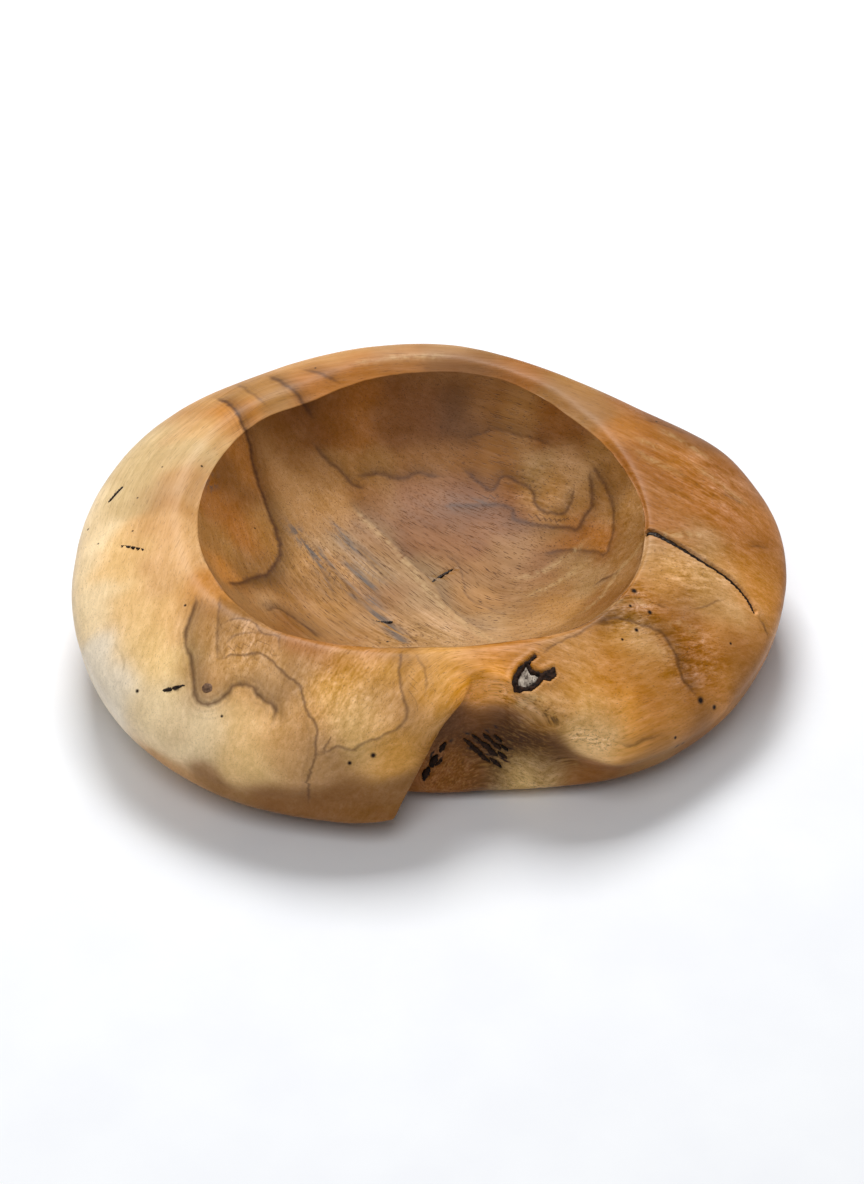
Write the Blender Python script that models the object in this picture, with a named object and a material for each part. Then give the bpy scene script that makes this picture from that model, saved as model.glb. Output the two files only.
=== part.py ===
"""Free-form bowl carved from one block of teak root, with its ingrown bark and filled checks.

Metres, +Z up. The origin is on the ground, in the middle of the flat resting face and under
the axis of the round hollow. +X runs along the bowl's long side, and the deep natural fold of
the root opens towards -Y. The dimension tables are in millimetres and degrees.
"""

import math

import bmesh
import bpy
import numpy as np
from mathutils import Vector
from mathutils.bvhtree import BVHTree

MM = 0.001

# Driving dimensions of the wood.
HOLLOW_FLOOR = 27.0
HOLLOW_SPREAD = 0.9
HOLLOW_FLATNESS = 4.2
FOLD_SPOKE = 266.0
FOLD_REACH = 45.0

# How finely the blank is divided.
SPOKES = 96
HOLLOW_RINGS = 12
RINGS_PER_BAND = 4
CROWDING = ((5.0, 0.0, 3.0), (1.0, 18.0, 18.0))
CROWDING_SAMPLES = 7201

# Level rings of the outer form, from the hollow's lip down to the resting face. Each has the
# angle by which it leans round towards the fold, and points of (spoke, radius, height).
LIP = (
    0,
    [
        (0, 93.5, 62.5), (20, 91, 63.5), (40, 90.5, 65), (60, 95, 66), (72, 97, 67),
        (85, 96, 67), (105, 92.5, 67), (125, 87.5, 67), (140, 91.5, 67), (160, 92.5, 66),
        (180, 93.5, 65), (200, 95.5, 65), (215, 96.5, 64), (232, 98, 64), (245, 94.5, 64),
        (260, 90, 63), (273, 87, 62), (285, 88, 61), (295, 90.5, 61), (308, 97, 62),
        (319, 98.5, 62), (335, 97, 62), (350, 94.5, 62),
    ],
)
CREST = (
    5,
    [
        (0, 99, 63.5), (30, 97, 67), (60, 101, 69.5), (90, 103, 71.5), (125, 98, 71.5),
        (150, 103, 71), (180, 105, 69), (215, 108, 67), (240, 103, 66), (262, 96, 64),
        (275, 93, 62.5), (290, 97, 61.5), (310, 104, 62), (340, 102, 62.5),
    ],
)
SHOULDER = (
    14,
    [
        (0, 128, 57), (20, 124, 60.5), (40, 113, 66), (60, 112, 67.5), (90, 114, 70),
        (125, 114, 69), (150, 124, 65), (180, 129, 61), (215, 133, 54.5), (240, 128, 52.5),
        (258, 116, 55), (265.2, 107.5, 56.5), (267.5, 103.5, 57), (275, 108, 56),
        (285, 122, 51), (300, 128, 48), (320, 129, 47), (340, 130, 50),
    ],
)
BROW = (
    8,
    [
        (0, 151, 44), (20, 146, 50.5), (40, 126, 56.5), (60, 118, 58), (90, 120, 61),
        (125, 125, 60.5), (150, 137, 56), (180, 143, 52), (215, 150, 40.5), (240, 145, 36),
        (255, 133, 41), (265.2, 118, 44), (267.5, 105, 43), (275, 106, 38), (290, 121, 37),
        (305, 141, 29), (320, 145, 30), (340, 150, 37),
    ],
)
BELLY = (
    2,
    [
        (0, 156, 34), (20, 150, 39), (40, 129, 42), (60, 120, 44), (90, 121, 46),
        (125, 128, 46), (150, 140, 43), (180, 146.5, 38), (215, 152, 29.5), (240, 146, 23),
        (255, 136, 23), (265.2, 130, 21), (267.5, 106.5, 24), (280, 109, 22), (295, 119, 20),
        (305, 136, 19), (320, 145, 20), (340, 152, 27),
    ],
)
HEEL = (
    0,
    [
        (0, 148, 17), (20, 143, 20), (40, 126, 23), (60, 116, 24), (90, 115, 24),
        (125, 121, 24), (150, 132, 22), (180, 140, 18), (215, 144.5, 14.5), (240, 141, 11),
        (256, 137, 11), (265.2, 134, 13), (267.5, 112, 8), (280, 113, 7), (295, 121, 7),
        (305, 130, 8), (320, 138, 9), (340, 145, 13),
    ],
)
FOOT = (
    0,
    [
        (0, 102, 0), (45, 92, 0), (90, 88, 0), (135, 94, 0), (180, 101, 0), (220, 108, 0),
        (250, 110, 0), (270, 100, 0), (290, 102, 0), (320, 106, 0),
    ],
)
LEVELS = (LIP, CREST, SHOULDER, BROW, BELLY, HEEL, FOOT)

# Clearance between an inlaid piece and the pocket that it sits in.
POCKET_GAP = 0.3
POCKET_OPENING = 6.0
SEARCH_HEIGHT = 150.0
SEARCH_DISTANCE = 200.0
SHARP_ANGLE = 40.0
STRIP_SLICES = 10
STRIP_LOOKS = (0, 0.25, 0.5, 0.75, 1)
STRIP_STEP = 0.02
STRIP_ROOT = 0.6
STRIP_END = 0.45
PLUG_ROOT = 0.8
PLUG_SIDES = 14

# Filled checks and bark seams: plan points, widths at the two ends and the middle, depth.
CRACK = dict(
    points=[
        (94.5, -16), (99, -17.6), (105, -20.6), (116, -26.4), (127, -31.4), (134, -36.8),
        (138, -43),
    ],
    widths=(3.0, 1.5, 1.2),
    depth=4.0,
)
LEFT_RIM_CHECK = dict(
    points=[(-133.5, 9.8), (-130.5, 14), (-128, 17.4)],
    widths=(1.0, 1.6, 1.0),
    depth=2.5,
)
LEFT_FACE_CHECK = dict(
    points=[(-124.5, -22.2), (-119.5, -25.4), (-114, -29.2)],
    widths=(0.9, 1.2, 0.9),
    depth=2.0,
)
FRONT_CHECK = dict(
    points=[(-101.5, -96.7), (-97.5, -97.2), (-92.6, -97.6)],
    widths=(1.4, 1.6, 0.9),
    depth=2.5,
)
FLOOR_CHECK_LONG = dict(
    points=[(4.5, -5), (8.4, -0.8), (13.4, 3.8)],
    widths=(1.0, 1.4, 0.8),
    depth=2.5,
)
FLOOR_CHECK_SHORT = dict(
    points=[(-20.5, -30.8), (-17, -32), (-12, -31.6)],
    widths=(0.8, 1.2, 0.9),
    depth=2.0,
)

# The dead knot beside the fold: its bark outline, and the outline of the wood inside it.
KNOT_BARK_OUTLINE = [
    (44.8, -90), (42, -92.6), (38.8, -95.2), (36.4, -99.4), (35.6, -102.6), (36.2, -104.6),
    (39, -105.8), (42.9, -105.6), (45.9, -102.8), (47.9, -100.2), (50.5, -100.4), (53.2, -97.6),
    (52.2, -95), (49.2, -96.4), (46.6, -97.2), (44.2, -96.6), (42.9, -94.9), (43.2, -93.2),
    (45.6, -91.2),
]
KNOT_WOOD_OUTLINE = [
    (41.1, -95), (38.4, -99.8), (38.2, -103.2), (41.4, -103.8), (44.6, -100.9), (45.8, -98.9),
    (42.8, -98.2),
]
KNOT_DEPTH = 6.0
KNOT_SINK = 0.5
KNOT_ROOT_STEP = 1.0

# Small round knot in the pale sapwood, and the bark pockets on the wall of the fold.
PIN_KNOT_PLACE = (-83.3, -101)
PIN_KNOT_RADII = (2.6, 2.0)
PIN_KNOT_DEPTH = 4.0
FOLD_BARK_LEFT = dict(
    points=[(9, 27), (5, 19.5), (1.5, 14)],
    widths=(4.2, 5.0, 3.0),
    depth=3.0,
)
FOLD_BARK_MIDDLE = dict(
    points=[(23, 31), (27.5, 26), (32.5, 20.5)],
    widths=(4.0, 6.5, 4.0),
    depth=3.0,
)

TEAK = dict(colour="C08A4C", roughness=0.42)
RESIN = dict(colour="2E1F14", roughness=0.5)
BARK = dict(colour="2B1B12", roughness=0.85)
DEAD_WOOD = dict(colour="A89B8C", roughness=0.8)


def linear(hex_colour):
    """Linear red, green, blue and alpha of an sRGB hex colour."""
    channels = [int(hex_colour[i : i + 2], 16) / 255 for i in (0, 2, 4)]
    return [c / 12.92 if c <= 0.04045 else ((c + 0.055) / 1.055) ** 2.4 for c in channels] + [1.0]


def finish(name, colour, roughness):
    """A Principled material, which is never metallic on a wooden bowl."""
    material = bpy.data.materials.new(name)
    material.use_nodes = True
    shader = material.node_tree.nodes["Principled BSDF"]
    shader.inputs["Base Color"].default_value = linear(colour)
    shader.inputs["Roughness"].default_value = roughness
    shader.inputs["Metallic"].default_value = 0.0
    return material


def turn_from_fold(spoke):
    """Degrees from the fold round to this spoke, between -180 and 180."""
    return (spoke - FOLD_SPOKE + 180) % 360 - 180


def round_curve(points, column, spoke):
    """A column of a level ring at this spoke, by a periodic cubic that never overshoots its points."""
    table = np.array(points, float)
    knots = np.concatenate([table[:, 0] - 360, table[:, 0], table[:, 0] + 360])
    values = np.tile(table[:, column], 3)
    steps = np.diff(knots)
    slopes = np.diff(values) / steps
    tangents = np.zeros_like(values)
    before, after = slopes[:-1], slopes[1:]
    rising = before * after > 0
    weight_a = 2 * steps[1:] + steps[:-1]
    weight_b = steps[1:] + 2 * steps[:-1]
    slowness = weight_a[rising] / before[rising] + weight_b[rising] / after[rising]
    tangents[1:-1][rising] = (weight_a + weight_b)[rising] / slowness
    i = int(np.searchsorted(knots, spoke % 360, side="right")) - 1
    t = (spoke % 360 - knots[i]) / steps[i]
    start = (2 * t**3 - 3 * t**2 + 1) * values[i] + (t**3 - 2 * t**2 + t) * steps[i] * tangents[i]
    end = (3 * t**2 - 2 * t**3) * values[i + 1] + (t**3 - t**2) * steps[i] * tangents[i + 1]
    return start + end


def level_point(level, spoke):
    """The point of a level ring on this spoke, in millimetres."""
    lean, points = level
    turn = turn_from_fold(spoke)
    if abs(turn) < FOLD_REACH:
        lean *= math.cos(turn / FOLD_REACH * math.pi / 2) ** 2
    else:
        lean = 0.0
    angle = math.radians(spoke + lean)
    radius = round_curve(points, 1, spoke)
    return Vector((radius * math.cos(angle), radius * math.sin(angle), round_curve(points, 2, spoke)))


def outer_column(spoke):
    """Points down the outside of one spoke, below the lip, on a smooth curve through the level rings."""
    rings = [level_point(level, spoke) for level in LEVELS]
    rings = [2 * rings[0] - rings[1], *rings, 2 * rings[-1] - rings[-2]]
    column = []
    for band in range(len(LEVELS) - 1):
        a, b, c, d = rings[band : band + 4]
        for step in range(1, RINGS_PER_BAND + 1):
            t = step / RINGS_PER_BAND
            bend = (2 * a - 5 * b + 4 * c - d) * t**2 + (3 * b - a - 3 * c + d) * t**3
            column.append((2 * b + (c - a) * t + bend) / 2)
    return column


def hollow_column(spoke):
    """Points up the inside of one spoke, from next to the middle of the floor to the lip."""
    lip = level_point(LIP, spoke)
    column = []
    for ring in range(1, HOLLOW_RINGS + 1):
        share = math.sin(ring / HOLLOW_RINGS * math.pi / 2) ** HOLLOW_SPREAD
        height = HOLLOW_FLOOR + (lip.z - HOLLOW_FLOOR) * share**HOLLOW_FLATNESS
        column.append(Vector((lip.x * share, lip.y * share, height)))
    return column


def crowded_spokes():
    """Spoke angles round the bowl, closest together where the fold needs them."""
    fine = np.linspace(0, 360, CROWDING_SAMPLES)
    turn = (fine - FOLD_SPOKE + 180) % 360 - 180
    density = np.ones_like(fine)
    for height, place, spread in CROWDING:
        density += height * np.exp(-(((turn - place) / spread) ** 2))
    total = np.concatenate([[0], np.cumsum((density[1:] + density[:-1]) / 2)])
    return np.interp(np.arange(SPOKES) / SPOKES, total / total[-1], fine)


def carved_blank():
    """A round blank, each of whose meridians is carved to one spoke of the bowl."""
    rings = HOLLOW_RINGS + RINGS_PER_BAND * (len(LEVELS) - 1)
    bm = bmesh.new()
    bmesh.ops.create_uvsphere(bm, u_segments=SPOKES, v_segments=rings + 1, radius=1.0)
    columns = [hollow_column(spoke) + outer_column(spoke) for spoke in crowded_spokes()]
    for vert in bm.verts:
        ring = round(math.acos(max(-1.0, min(1.0, vert.co.z))) / math.pi * (rings + 1))
        spoke = round(math.atan2(vert.co.y, vert.co.x) / (2 * math.pi) * SPOKES) % SPOKES
        if ring == 0:
            vert.co = Vector((0, 0, HOLLOW_FLOOR)) * MM
        elif ring == rings + 1:
            vert.co = Vector((0, 0, 0))
        else:
            vert.co = columns[spoke][ring - 1] * MM
    bmesh.ops.triangulate(bm, faces=bm.faces)
    bmesh.ops.recalc_face_normals(bm, faces=bm.faces)
    return bm


def object_from(bm, name, material):
    """A smooth-shaded object that holds this mesh."""
    mesh = bpy.data.meshes.new(name)
    bm.to_mesh(mesh)
    bm.free()
    mesh.shade_smooth()
    mesh.set_sharp_from_angle(angle=math.radians(SHARP_ANGLE))
    mesh.materials.append(material)
    piece = bpy.data.objects.new(name, mesh)
    bpy.context.scene.collection.objects.link(piece)
    return piece


def seen_from_above(wood, x, y):
    """The wood's surface point and normal under this plan point."""
    place, normal, _, _ = wood.ray_cast(Vector((x, y, SEARCH_HEIGHT)) * MM, Vector((0, 0, -1)))
    return place, normal


def seen_from_front(wood, x, z):
    """The surface point and normal of the fold's wall, seen along +Y at this place and height."""
    place, normal, _, _ = wood.ray_cast(Vector((x, -SEARCH_DISTANCE, z)) * MM, Vector((0, 1, 0)))
    return place, normal


def along(points, share):
    """A point on the smooth line through these points, at this share of its length."""
    ends = [2 * Vector(points[0]) - Vector(points[1]), *map(Vector, points)]
    ends.append(2 * ends[-1] - ends[-2])
    place = share * (len(points) - 1)
    i = min(int(place), len(points) - 2)
    t = place - i
    a, b, c, d = ends[i : i + 4]
    bend = (2 * a - 5 * b + 4 * c - d) * t**2 + (3 * b - a - 3 * c + d) * t**3
    return (2 * b + (c - a) * t + bend) / 2


def strip(wood, look, points, widths, depth, gap=0.0, rise=0.0):
    """A tapered block bent along a line on the wood: wide at its face and narrow at its root."""
    bm = bmesh.new()
    bmesh.ops.create_cube(bm, size=1.0)
    long_edges = [e for e in bm.edges if abs(e.verts[0].co.x - e.verts[1].co.x) > 0.5]
    bmesh.ops.subdivide_edges(bm, edges=long_edges, cuts=STRIP_SLICES - 1, use_grid_fill=True)
    normals = [look(wood, *along(points, share))[1] for share in STRIP_LOOKS]
    normal = sum(normals, Vector()).normalized()
    for vert in bm.verts:
        share = vert.co.x + 0.5
        place, _ = look(wood, *along(points, share))
        ahead, _ = look(wood, *along(points, min(1.0, share + STRIP_STEP)))
        behind, _ = look(wood, *along(points, max(0.0, share - STRIP_STEP)))
        run = (ahead - behind).normalized()
        side = normal.cross(run).normalized()
        last = share > 1 - STRIP_STEP
        first = share < STRIP_STEP
        half = float(np.interp(share, [0, 0.5, 1], widths)) / 2
        half *= STRIP_END if first or last else 1.0
        lift = rise if vert.co.z > 0 else -depth - gap
        half = half * (1 + (1 - STRIP_ROOT) * lift / depth) + gap
        end = run * (gap * MM) * (last - first)
        vert.co = place + end + (side * (2 * vert.co.y * half) + normal * lift) * MM
    bmesh.ops.triangulate(bm, faces=bm.faces)
    bmesh.ops.recalc_face_normals(bm, faces=bm.faces)
    return bm


def swelled(outline, gap):
    """A closed outline, its points in order clockwise or not, moved outwards by the gap."""
    points = [Vector(p) for p in outline]
    area = sum(a.x * b.y - b.x * a.y for a, b in zip(points, points[1:] + points[:1]))
    moved = []
    for before, here, after in zip(points[-1:] + points[:-1], points, points[1:] + points[:1]):
        first = (here - before).normalized()
        second = (after - here).normalized()
        out = (Vector((first.y, -first.x)) + Vector((second.y, -second.x))) * math.copysign(1, area)
        out.normalize()
        moved.append(here + out * gap)
    return moved


def block(wood, outline, depth, gap=0.0, rise=0.0):
    """A block with this plan outline that follows the wood's surface on top and has a flat root."""
    bm = bmesh.new()
    tops = [seen_from_above(wood, *point)[0] for point in swelled(outline, gap)]
    root = min(top.z for top in tops) - (depth + gap) * MM
    face = bm.faces.new([bm.verts.new((top.x, top.y, root)) for top in tops])
    raised = bmesh.ops.extrude_face_region(bm, geom=[face])["geom"]
    for vert in raised:
        if isinstance(vert, bmesh.types.BMVert):
            top = min(tops, key=lambda place: (place - vert.co).xy.length)
            vert.co.z = top.z + rise * MM
    bmesh.ops.triangulate(bm, faces=bm.faces)
    bmesh.ops.recalc_face_normals(bm, faces=bm.faces)
    return bm


def plug(wood, place, radii, depth, gap=0.0, rise=0.0):
    """A slightly tapered oval plug, square to the wood."""
    centre, normal = seen_from_above(wood, *place)
    bm = bmesh.new()
    bmesh.ops.create_cone(bm, cap_ends=True, segments=PLUG_SIDES, radius1=1.0, radius2=1.0, depth=1.0)
    for vert in bm.verts:
        lift = rise if vert.co.z > 0 else -depth - gap
        taper = 1 + (1 - PLUG_ROOT) * lift / depth
        across = [unit * (radius * taper + gap) for unit, radius in zip(vert.co.xy, radii)]
        vert.co = Vector((*across, lift)) * MM
    bmesh.ops.rotate(bm, verts=bm.verts, matrix=normal.to_track_quat("Z", "Y").to_matrix())
    bmesh.ops.translate(bm, verts=bm.verts, vec=centre)
    bmesh.ops.triangulate(bm, faces=bm.faces)
    return bm


def cut(body, bm, name):
    """Cuts this shape out of the body with a hidden cutter."""
    cutter = object_from(bm, name, body.data.materials[0])
    cutter.hide_render = True
    cutter.display_type = "WIRE"
    pocket = body.modifiers.new(name, "BOOLEAN")
    pocket.operation = "DIFFERENCE"
    pocket.solver = "EXACT"
    pocket.object = cutter


def inlay(body, wood, name, look, seam, material):
    """One strip of another material, and the pocket for it in the body."""
    cut(body, strip(wood, look, **seam, gap=POCKET_GAP, rise=POCKET_OPENING), name + "_pocket")
    object_from(strip(wood, look, **seam), name, material)


def knot(body, wood, bark, dead_wood):
    """The dead knot beside the fold: a thick rim of bark round grey wood, a little below the surface."""
    outer = dict(outline=KNOT_BARK_OUTLINE, depth=KNOT_DEPTH)
    inner = dict(outline=KNOT_WOOD_OUTLINE, depth=KNOT_DEPTH + KNOT_ROOT_STEP)
    cut(body, block(wood, **outer, gap=POCKET_GAP, rise=POCKET_OPENING), "knot_pocket")
    rim = object_from(block(wood, **outer, rise=-KNOT_SINK), "knot_bark", bark)
    cut(rim, block(wood, **inner, gap=POCKET_GAP, rise=POCKET_OPENING), "knot_wood_pocket")
    core = dict(outline=KNOT_WOOD_OUTLINE, depth=KNOT_DEPTH - KNOT_ROOT_STEP)
    object_from(block(wood, **core, rise=-2 * KNOT_SINK), "dead_knot", dead_wood)


def main():
    for old in list(bpy.data.objects):
        bpy.data.objects.remove(old)
    teak = finish("teak_root", **TEAK)
    resin = finish("dark_resin_filler", **RESIN)
    bark = finish("bark", **BARK)
    dead_wood = finish("dead_wood", **DEAD_WOOD)
    blank = carved_blank()
    wood = BVHTree.FromBMesh(blank)
    body = object_from(blank, "bowl_body", teak)
    checks = {
        "crack_filler": CRACK,
        "left_rim_check_filler": LEFT_RIM_CHECK,
        "left_face_check_filler": LEFT_FACE_CHECK,
        "front_check_filler": FRONT_CHECK,
        "long_floor_check_filler": FLOOR_CHECK_LONG,
        "short_floor_check_filler": FLOOR_CHECK_SHORT,
    }
    for name, seam in checks.items():
        inlay(body, wood, name, seen_from_above, seam, resin)
    inlay(body, wood, "fold_bark_left", seen_from_front, FOLD_BARK_LEFT, bark)
    inlay(body, wood, "fold_bark_middle", seen_from_front, FOLD_BARK_MIDDLE, bark)
    knot(body, wood, bark, dead_wood)
    pin = dict(place=PIN_KNOT_PLACE, radii=PIN_KNOT_RADII, depth=PIN_KNOT_DEPTH)
    cut(body, plug(wood, **pin, gap=POCKET_GAP, rise=POCKET_OPENING), "pin_pocket")
    object_from(plug(wood, **pin), "pin_knot", dead_wood)


main()
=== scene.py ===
"""Studio view of a free-form bowl carved from one block of teak root.

The wood is one carved body. Its checks are filled with dark resin, bark has grown into the fold
of its front wall, and a dead knot and a small pin knot show in the sapwood. Lengths in the
tables are in millimetres and angles in degrees; the finished meshes are in metres, +Z up, with
the round hollow on the Z axis and the fold towards -Y.
"""

import logging
import math
from collections.abc import Callable
from dataclasses import dataclass
from enum import Enum
from functools import partial

import bmesh
import bpy
import numpy as np
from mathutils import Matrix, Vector, noise
from mathutils.bvhtree import BVHTree
from mathutils.kdtree import KDTree


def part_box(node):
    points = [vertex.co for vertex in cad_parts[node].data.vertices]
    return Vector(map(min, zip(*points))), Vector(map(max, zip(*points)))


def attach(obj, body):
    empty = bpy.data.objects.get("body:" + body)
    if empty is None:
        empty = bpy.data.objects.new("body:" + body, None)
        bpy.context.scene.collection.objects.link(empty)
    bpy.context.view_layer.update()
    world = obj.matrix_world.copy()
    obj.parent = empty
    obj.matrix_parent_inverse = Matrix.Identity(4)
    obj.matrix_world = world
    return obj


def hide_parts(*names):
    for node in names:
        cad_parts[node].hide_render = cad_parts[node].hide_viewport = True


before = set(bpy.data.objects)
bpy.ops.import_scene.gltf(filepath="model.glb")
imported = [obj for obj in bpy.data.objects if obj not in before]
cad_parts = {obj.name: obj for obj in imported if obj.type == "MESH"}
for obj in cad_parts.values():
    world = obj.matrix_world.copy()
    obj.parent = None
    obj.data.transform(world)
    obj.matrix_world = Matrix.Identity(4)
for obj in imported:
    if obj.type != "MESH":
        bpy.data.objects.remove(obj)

LOG = logging.getLogger("teak_bowl")
MM = 0.001
BODY = "root"


class Tone(Enum):
    """The tones that teak root shows, from bleached sapwood to bark, as sRGB hex."""

    BONE = "F7E7CD"
    PEARL = "F5D8A9"
    CREAM = "F7CE8C"
    BUTTER = "EFC384"
    STRAW = "EEB470"
    WHEAT = "D1B27F"
    MAIZE = "D9A86F"
    FLAX = "F7A949"
    BUFF = "E5A854"
    HONEY = "D0A46A"
    GOLD = "C7965F"
    APRICOT = "D29545"
    AMBER = "B88E60"
    SAND = "C18E52"
    FAWN = "D18C40"
    CARAMEL = "B28553"
    TAN = "C7853D"
    GINGER = "BD7D37"
    OCHRE = "AE7D44"
    DRAB = "A17B4E"
    HAZEL = "B47433"
    COPPER = "9F713F"
    RUSSET = "AB6D31"
    WALNUT = "956835"
    CHESTNUT = "9F642B"
    UMBER = "8C5C2B"
    SEPIA = "875423"
    COCOA = "804F21"
    PEAT = "7B4B1F"
    SOOT = "663E18"
    TAR = "543212"


def linear(hex_colour: str) -> tuple[float, float, float, float]:
    """Turns an sRGB hex colour to linear light.

    Args:
        hex_colour: Six hex digits, without a hash.

    Returns:
        Linear red, green, blue, and an alpha of one.
    """
    channels = [int(hex_colour[i : i + 2], 16) / 255 for i in (0, 2, 4)]
    red, green, blue = (c / 12.92 if c <= 0.04045 else ((c + 0.055) / 1.055) ** 2.4 for c in channels)
    return red, green, blue, 1.0


def smooth_step(low: float, high: float, value: np.ndarray) -> np.ndarray:
    """Rises smoothly from 0 at low to 1 at high."""
    share = np.clip((value - low) / (high - low), 0.0, 1.0)
    return share * share * (3.0 - 2.0 * share)


@dataclass(frozen=True)
class LevelRing:
    """One level ring of the carved form: points of (spoke, radius, height), and its lean to the fold."""

    lean: float
    points: tuple[tuple[float, float, float], ...]


@dataclass(frozen=True)
class GrainZone:
    """Where the fibres run at one angle, measured in plan from +X towards +Y."""

    x: float
    y: float
    reach: float
    angle: float


@dataclass(frozen=True)
class FigureLine:
    """A growth line that the carving has cut across, drawn through plan points."""

    points: tuple[tuple[float, float], ...]
    width: float = 0.5
    strength: float = 0.6
    halo: float = 4.0
    shade: float = 0.25


@dataclass(frozen=True)
class Seam:
    """A line of another material let into the wood: plan points, widths at its ends and middle."""

    points: tuple[tuple[float, float], ...]
    widths: tuple[float, float, float]
    depth: float
    from_front: bool = False


class RootForm:
    """The carved form without its fine relief: a round hollow inside level rings."""

    FLOOR = 27.0
    SPREAD = 0.9
    FLATNESS = 4.2
    FOLD = 266.0
    FOLD_REACH = 45.0
    SPOKE_STEPS = 7201
    CROWDING = ((5.0, 0.0, 3.0), (1.0, 18.0, 18.0))
    LEVELS = (
        LevelRing(0, (
            (0, 93.5, 62.5), (20, 91, 63.5), (40, 90.5, 65), (60, 95, 66), (72, 97, 67),
            (85, 96, 67), (105, 92.5, 67), (125, 87.5, 67), (140, 91.5, 67), (160, 92.5, 66),
            (180, 93.5, 65), (200, 95.5, 65), (215, 96.5, 64), (232, 98, 64), (245, 94.5, 64),
            (260, 90, 63), (273, 87, 62), (285, 88, 61), (295, 90.5, 61), (308, 97, 62),
            (319, 98.5, 62), (335, 97, 62), (350, 94.5, 62),
        )),
        LevelRing(5, (
            (0, 99, 63.5), (30, 97, 67), (60, 101, 69.5), (90, 103, 71.5), (125, 98, 71.5),
            (150, 103, 71), (180, 105, 69), (215, 108, 67), (240, 103, 66), (262, 96, 64),
            (275, 93, 62.5), (290, 97, 61.5), (310, 104, 62), (340, 102, 62.5),
        )),
        LevelRing(14, (
            (0, 128, 57), (20, 124, 60.5), (40, 113, 66), (60, 112, 67.5), (90, 114, 70),
            (125, 114, 69), (150, 124, 65), (180, 129, 61), (215, 133, 54.5), (240, 128, 52.5),
            (258, 116, 55), (265.2, 107.5, 56.5), (267.5, 103.5, 57), (275, 108, 56),
            (285, 122, 51), (300, 128, 48), (320, 129, 47), (340, 130, 50),
        )),
        LevelRing(8, (
            (0, 151, 44), (20, 146, 50.5), (40, 126, 56.5), (60, 118, 58), (90, 120, 61),
            (125, 125, 60.5), (150, 137, 56), (180, 143, 52), (215, 150, 40.5), (240, 145, 36),
            (255, 133, 41), (265.2, 118, 44), (267.5, 105, 43), (275, 106, 38), (290, 121, 37),
            (305, 141, 29), (320, 145, 30), (340, 150, 37),
        )),
        LevelRing(2, (
            (0, 156, 34), (20, 150, 39), (40, 129, 42), (60, 120, 44), (90, 121, 46),
            (125, 128, 46), (150, 140, 43), (180, 146.5, 38), (215, 152, 29.5), (240, 146, 23),
            (255, 136, 23), (265.2, 130, 21), (267.5, 106.5, 24), (280, 109, 22), (295, 119, 20),
            (305, 136, 19), (320, 145, 20), (340, 152, 27),
        )),
        LevelRing(0, (
            (0, 148, 17), (20, 143, 20), (40, 126, 23), (60, 116, 24), (90, 115, 24),
            (125, 121, 24), (150, 132, 22), (180, 140, 18), (215, 144.5, 14.5), (240, 141, 11),
            (256, 137, 11), (265.2, 134, 13), (267.5, 112, 8), (280, 113, 7), (295, 121, 7),
            (305, 130, 8), (320, 138, 9), (340, 145, 13),
        )),
        LevelRing(0, (
            (0, 102, 0), (45, 92, 0), (90, 88, 0), (135, 94, 0), (180, 101, 0), (220, 108, 0),
            (250, 110, 0), (270, 100, 0), (290, 102, 0), (320, 106, 0),
        )),
    )
    LIP_T = 1.0
    FOOT_T = 7.0
    END_T = 8.0

    @staticmethod
    def round_curve(points: np.ndarray, column: int, spokes: np.ndarray) -> np.ndarray:
        """A column of a level ring, by a periodic cubic that never overshoots its points.

        Args:
            points: Rows of (spoke, radius, height).
            column: 1 for the radius or 2 for the height.
            spokes: The spoke angles wanted.

        Returns:
            The column's value on each spoke.
        """
        knots = np.concatenate([points[:, 0] - 360, points[:, 0], points[:, 0] + 360])
        values = np.tile(points[:, column], 3)
        steps = np.diff(knots)
        slopes = np.diff(values) / steps
        before, after = slopes[:-1], slopes[1:]
        rising = before * after > 0
        weight_a = 2 * steps[1:] + steps[:-1]
        weight_b = steps[1:] + 2 * steps[:-1]
        slow = weight_a[rising] / before[rising] + weight_b[rising] / after[rising]
        tangents = np.zeros_like(values)
        tangents[1:-1][rising] = (weight_a + weight_b)[rising] / slow
        place = spokes % 360
        i = np.searchsorted(knots, place, side="right") - 1
        t = (place - knots[i]) / steps[i]
        start = (2 * t**3 - 3 * t**2 + 1) * values[i] + (t**3 - 2 * t**2 + t) * steps[i] * tangents[i]
        end = (3 * t**2 - 2 * t**3) * values[i + 1] + (t**3 - t**2) * steps[i] * tangents[i + 1]
        return start + end

    def level(self, index: int, spokes: np.ndarray) -> np.ndarray:
        """Points of one level ring.

        Args:
            index: Which ring, from the lip (0) down to the foot.
            spokes: The spoke angles wanted.

        Returns:
            An array of points, in millimetres.
        """
        ring = self.LEVELS[index]
        table = np.array(ring.points, float)
        turn = (spokes - self.FOLD + 180) % 360 - 180
        near = np.cos(np.clip(turn / self.FOLD_REACH, -1, 1) * math.pi / 2) ** 2
        angle = np.radians(spokes + ring.lean * near)
        radius = self.round_curve(table, 1, spokes)
        height = self.round_curve(table, 2, spokes)
        return np.stack([radius * np.cos(angle), radius * np.sin(angle), height], -1)

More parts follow.
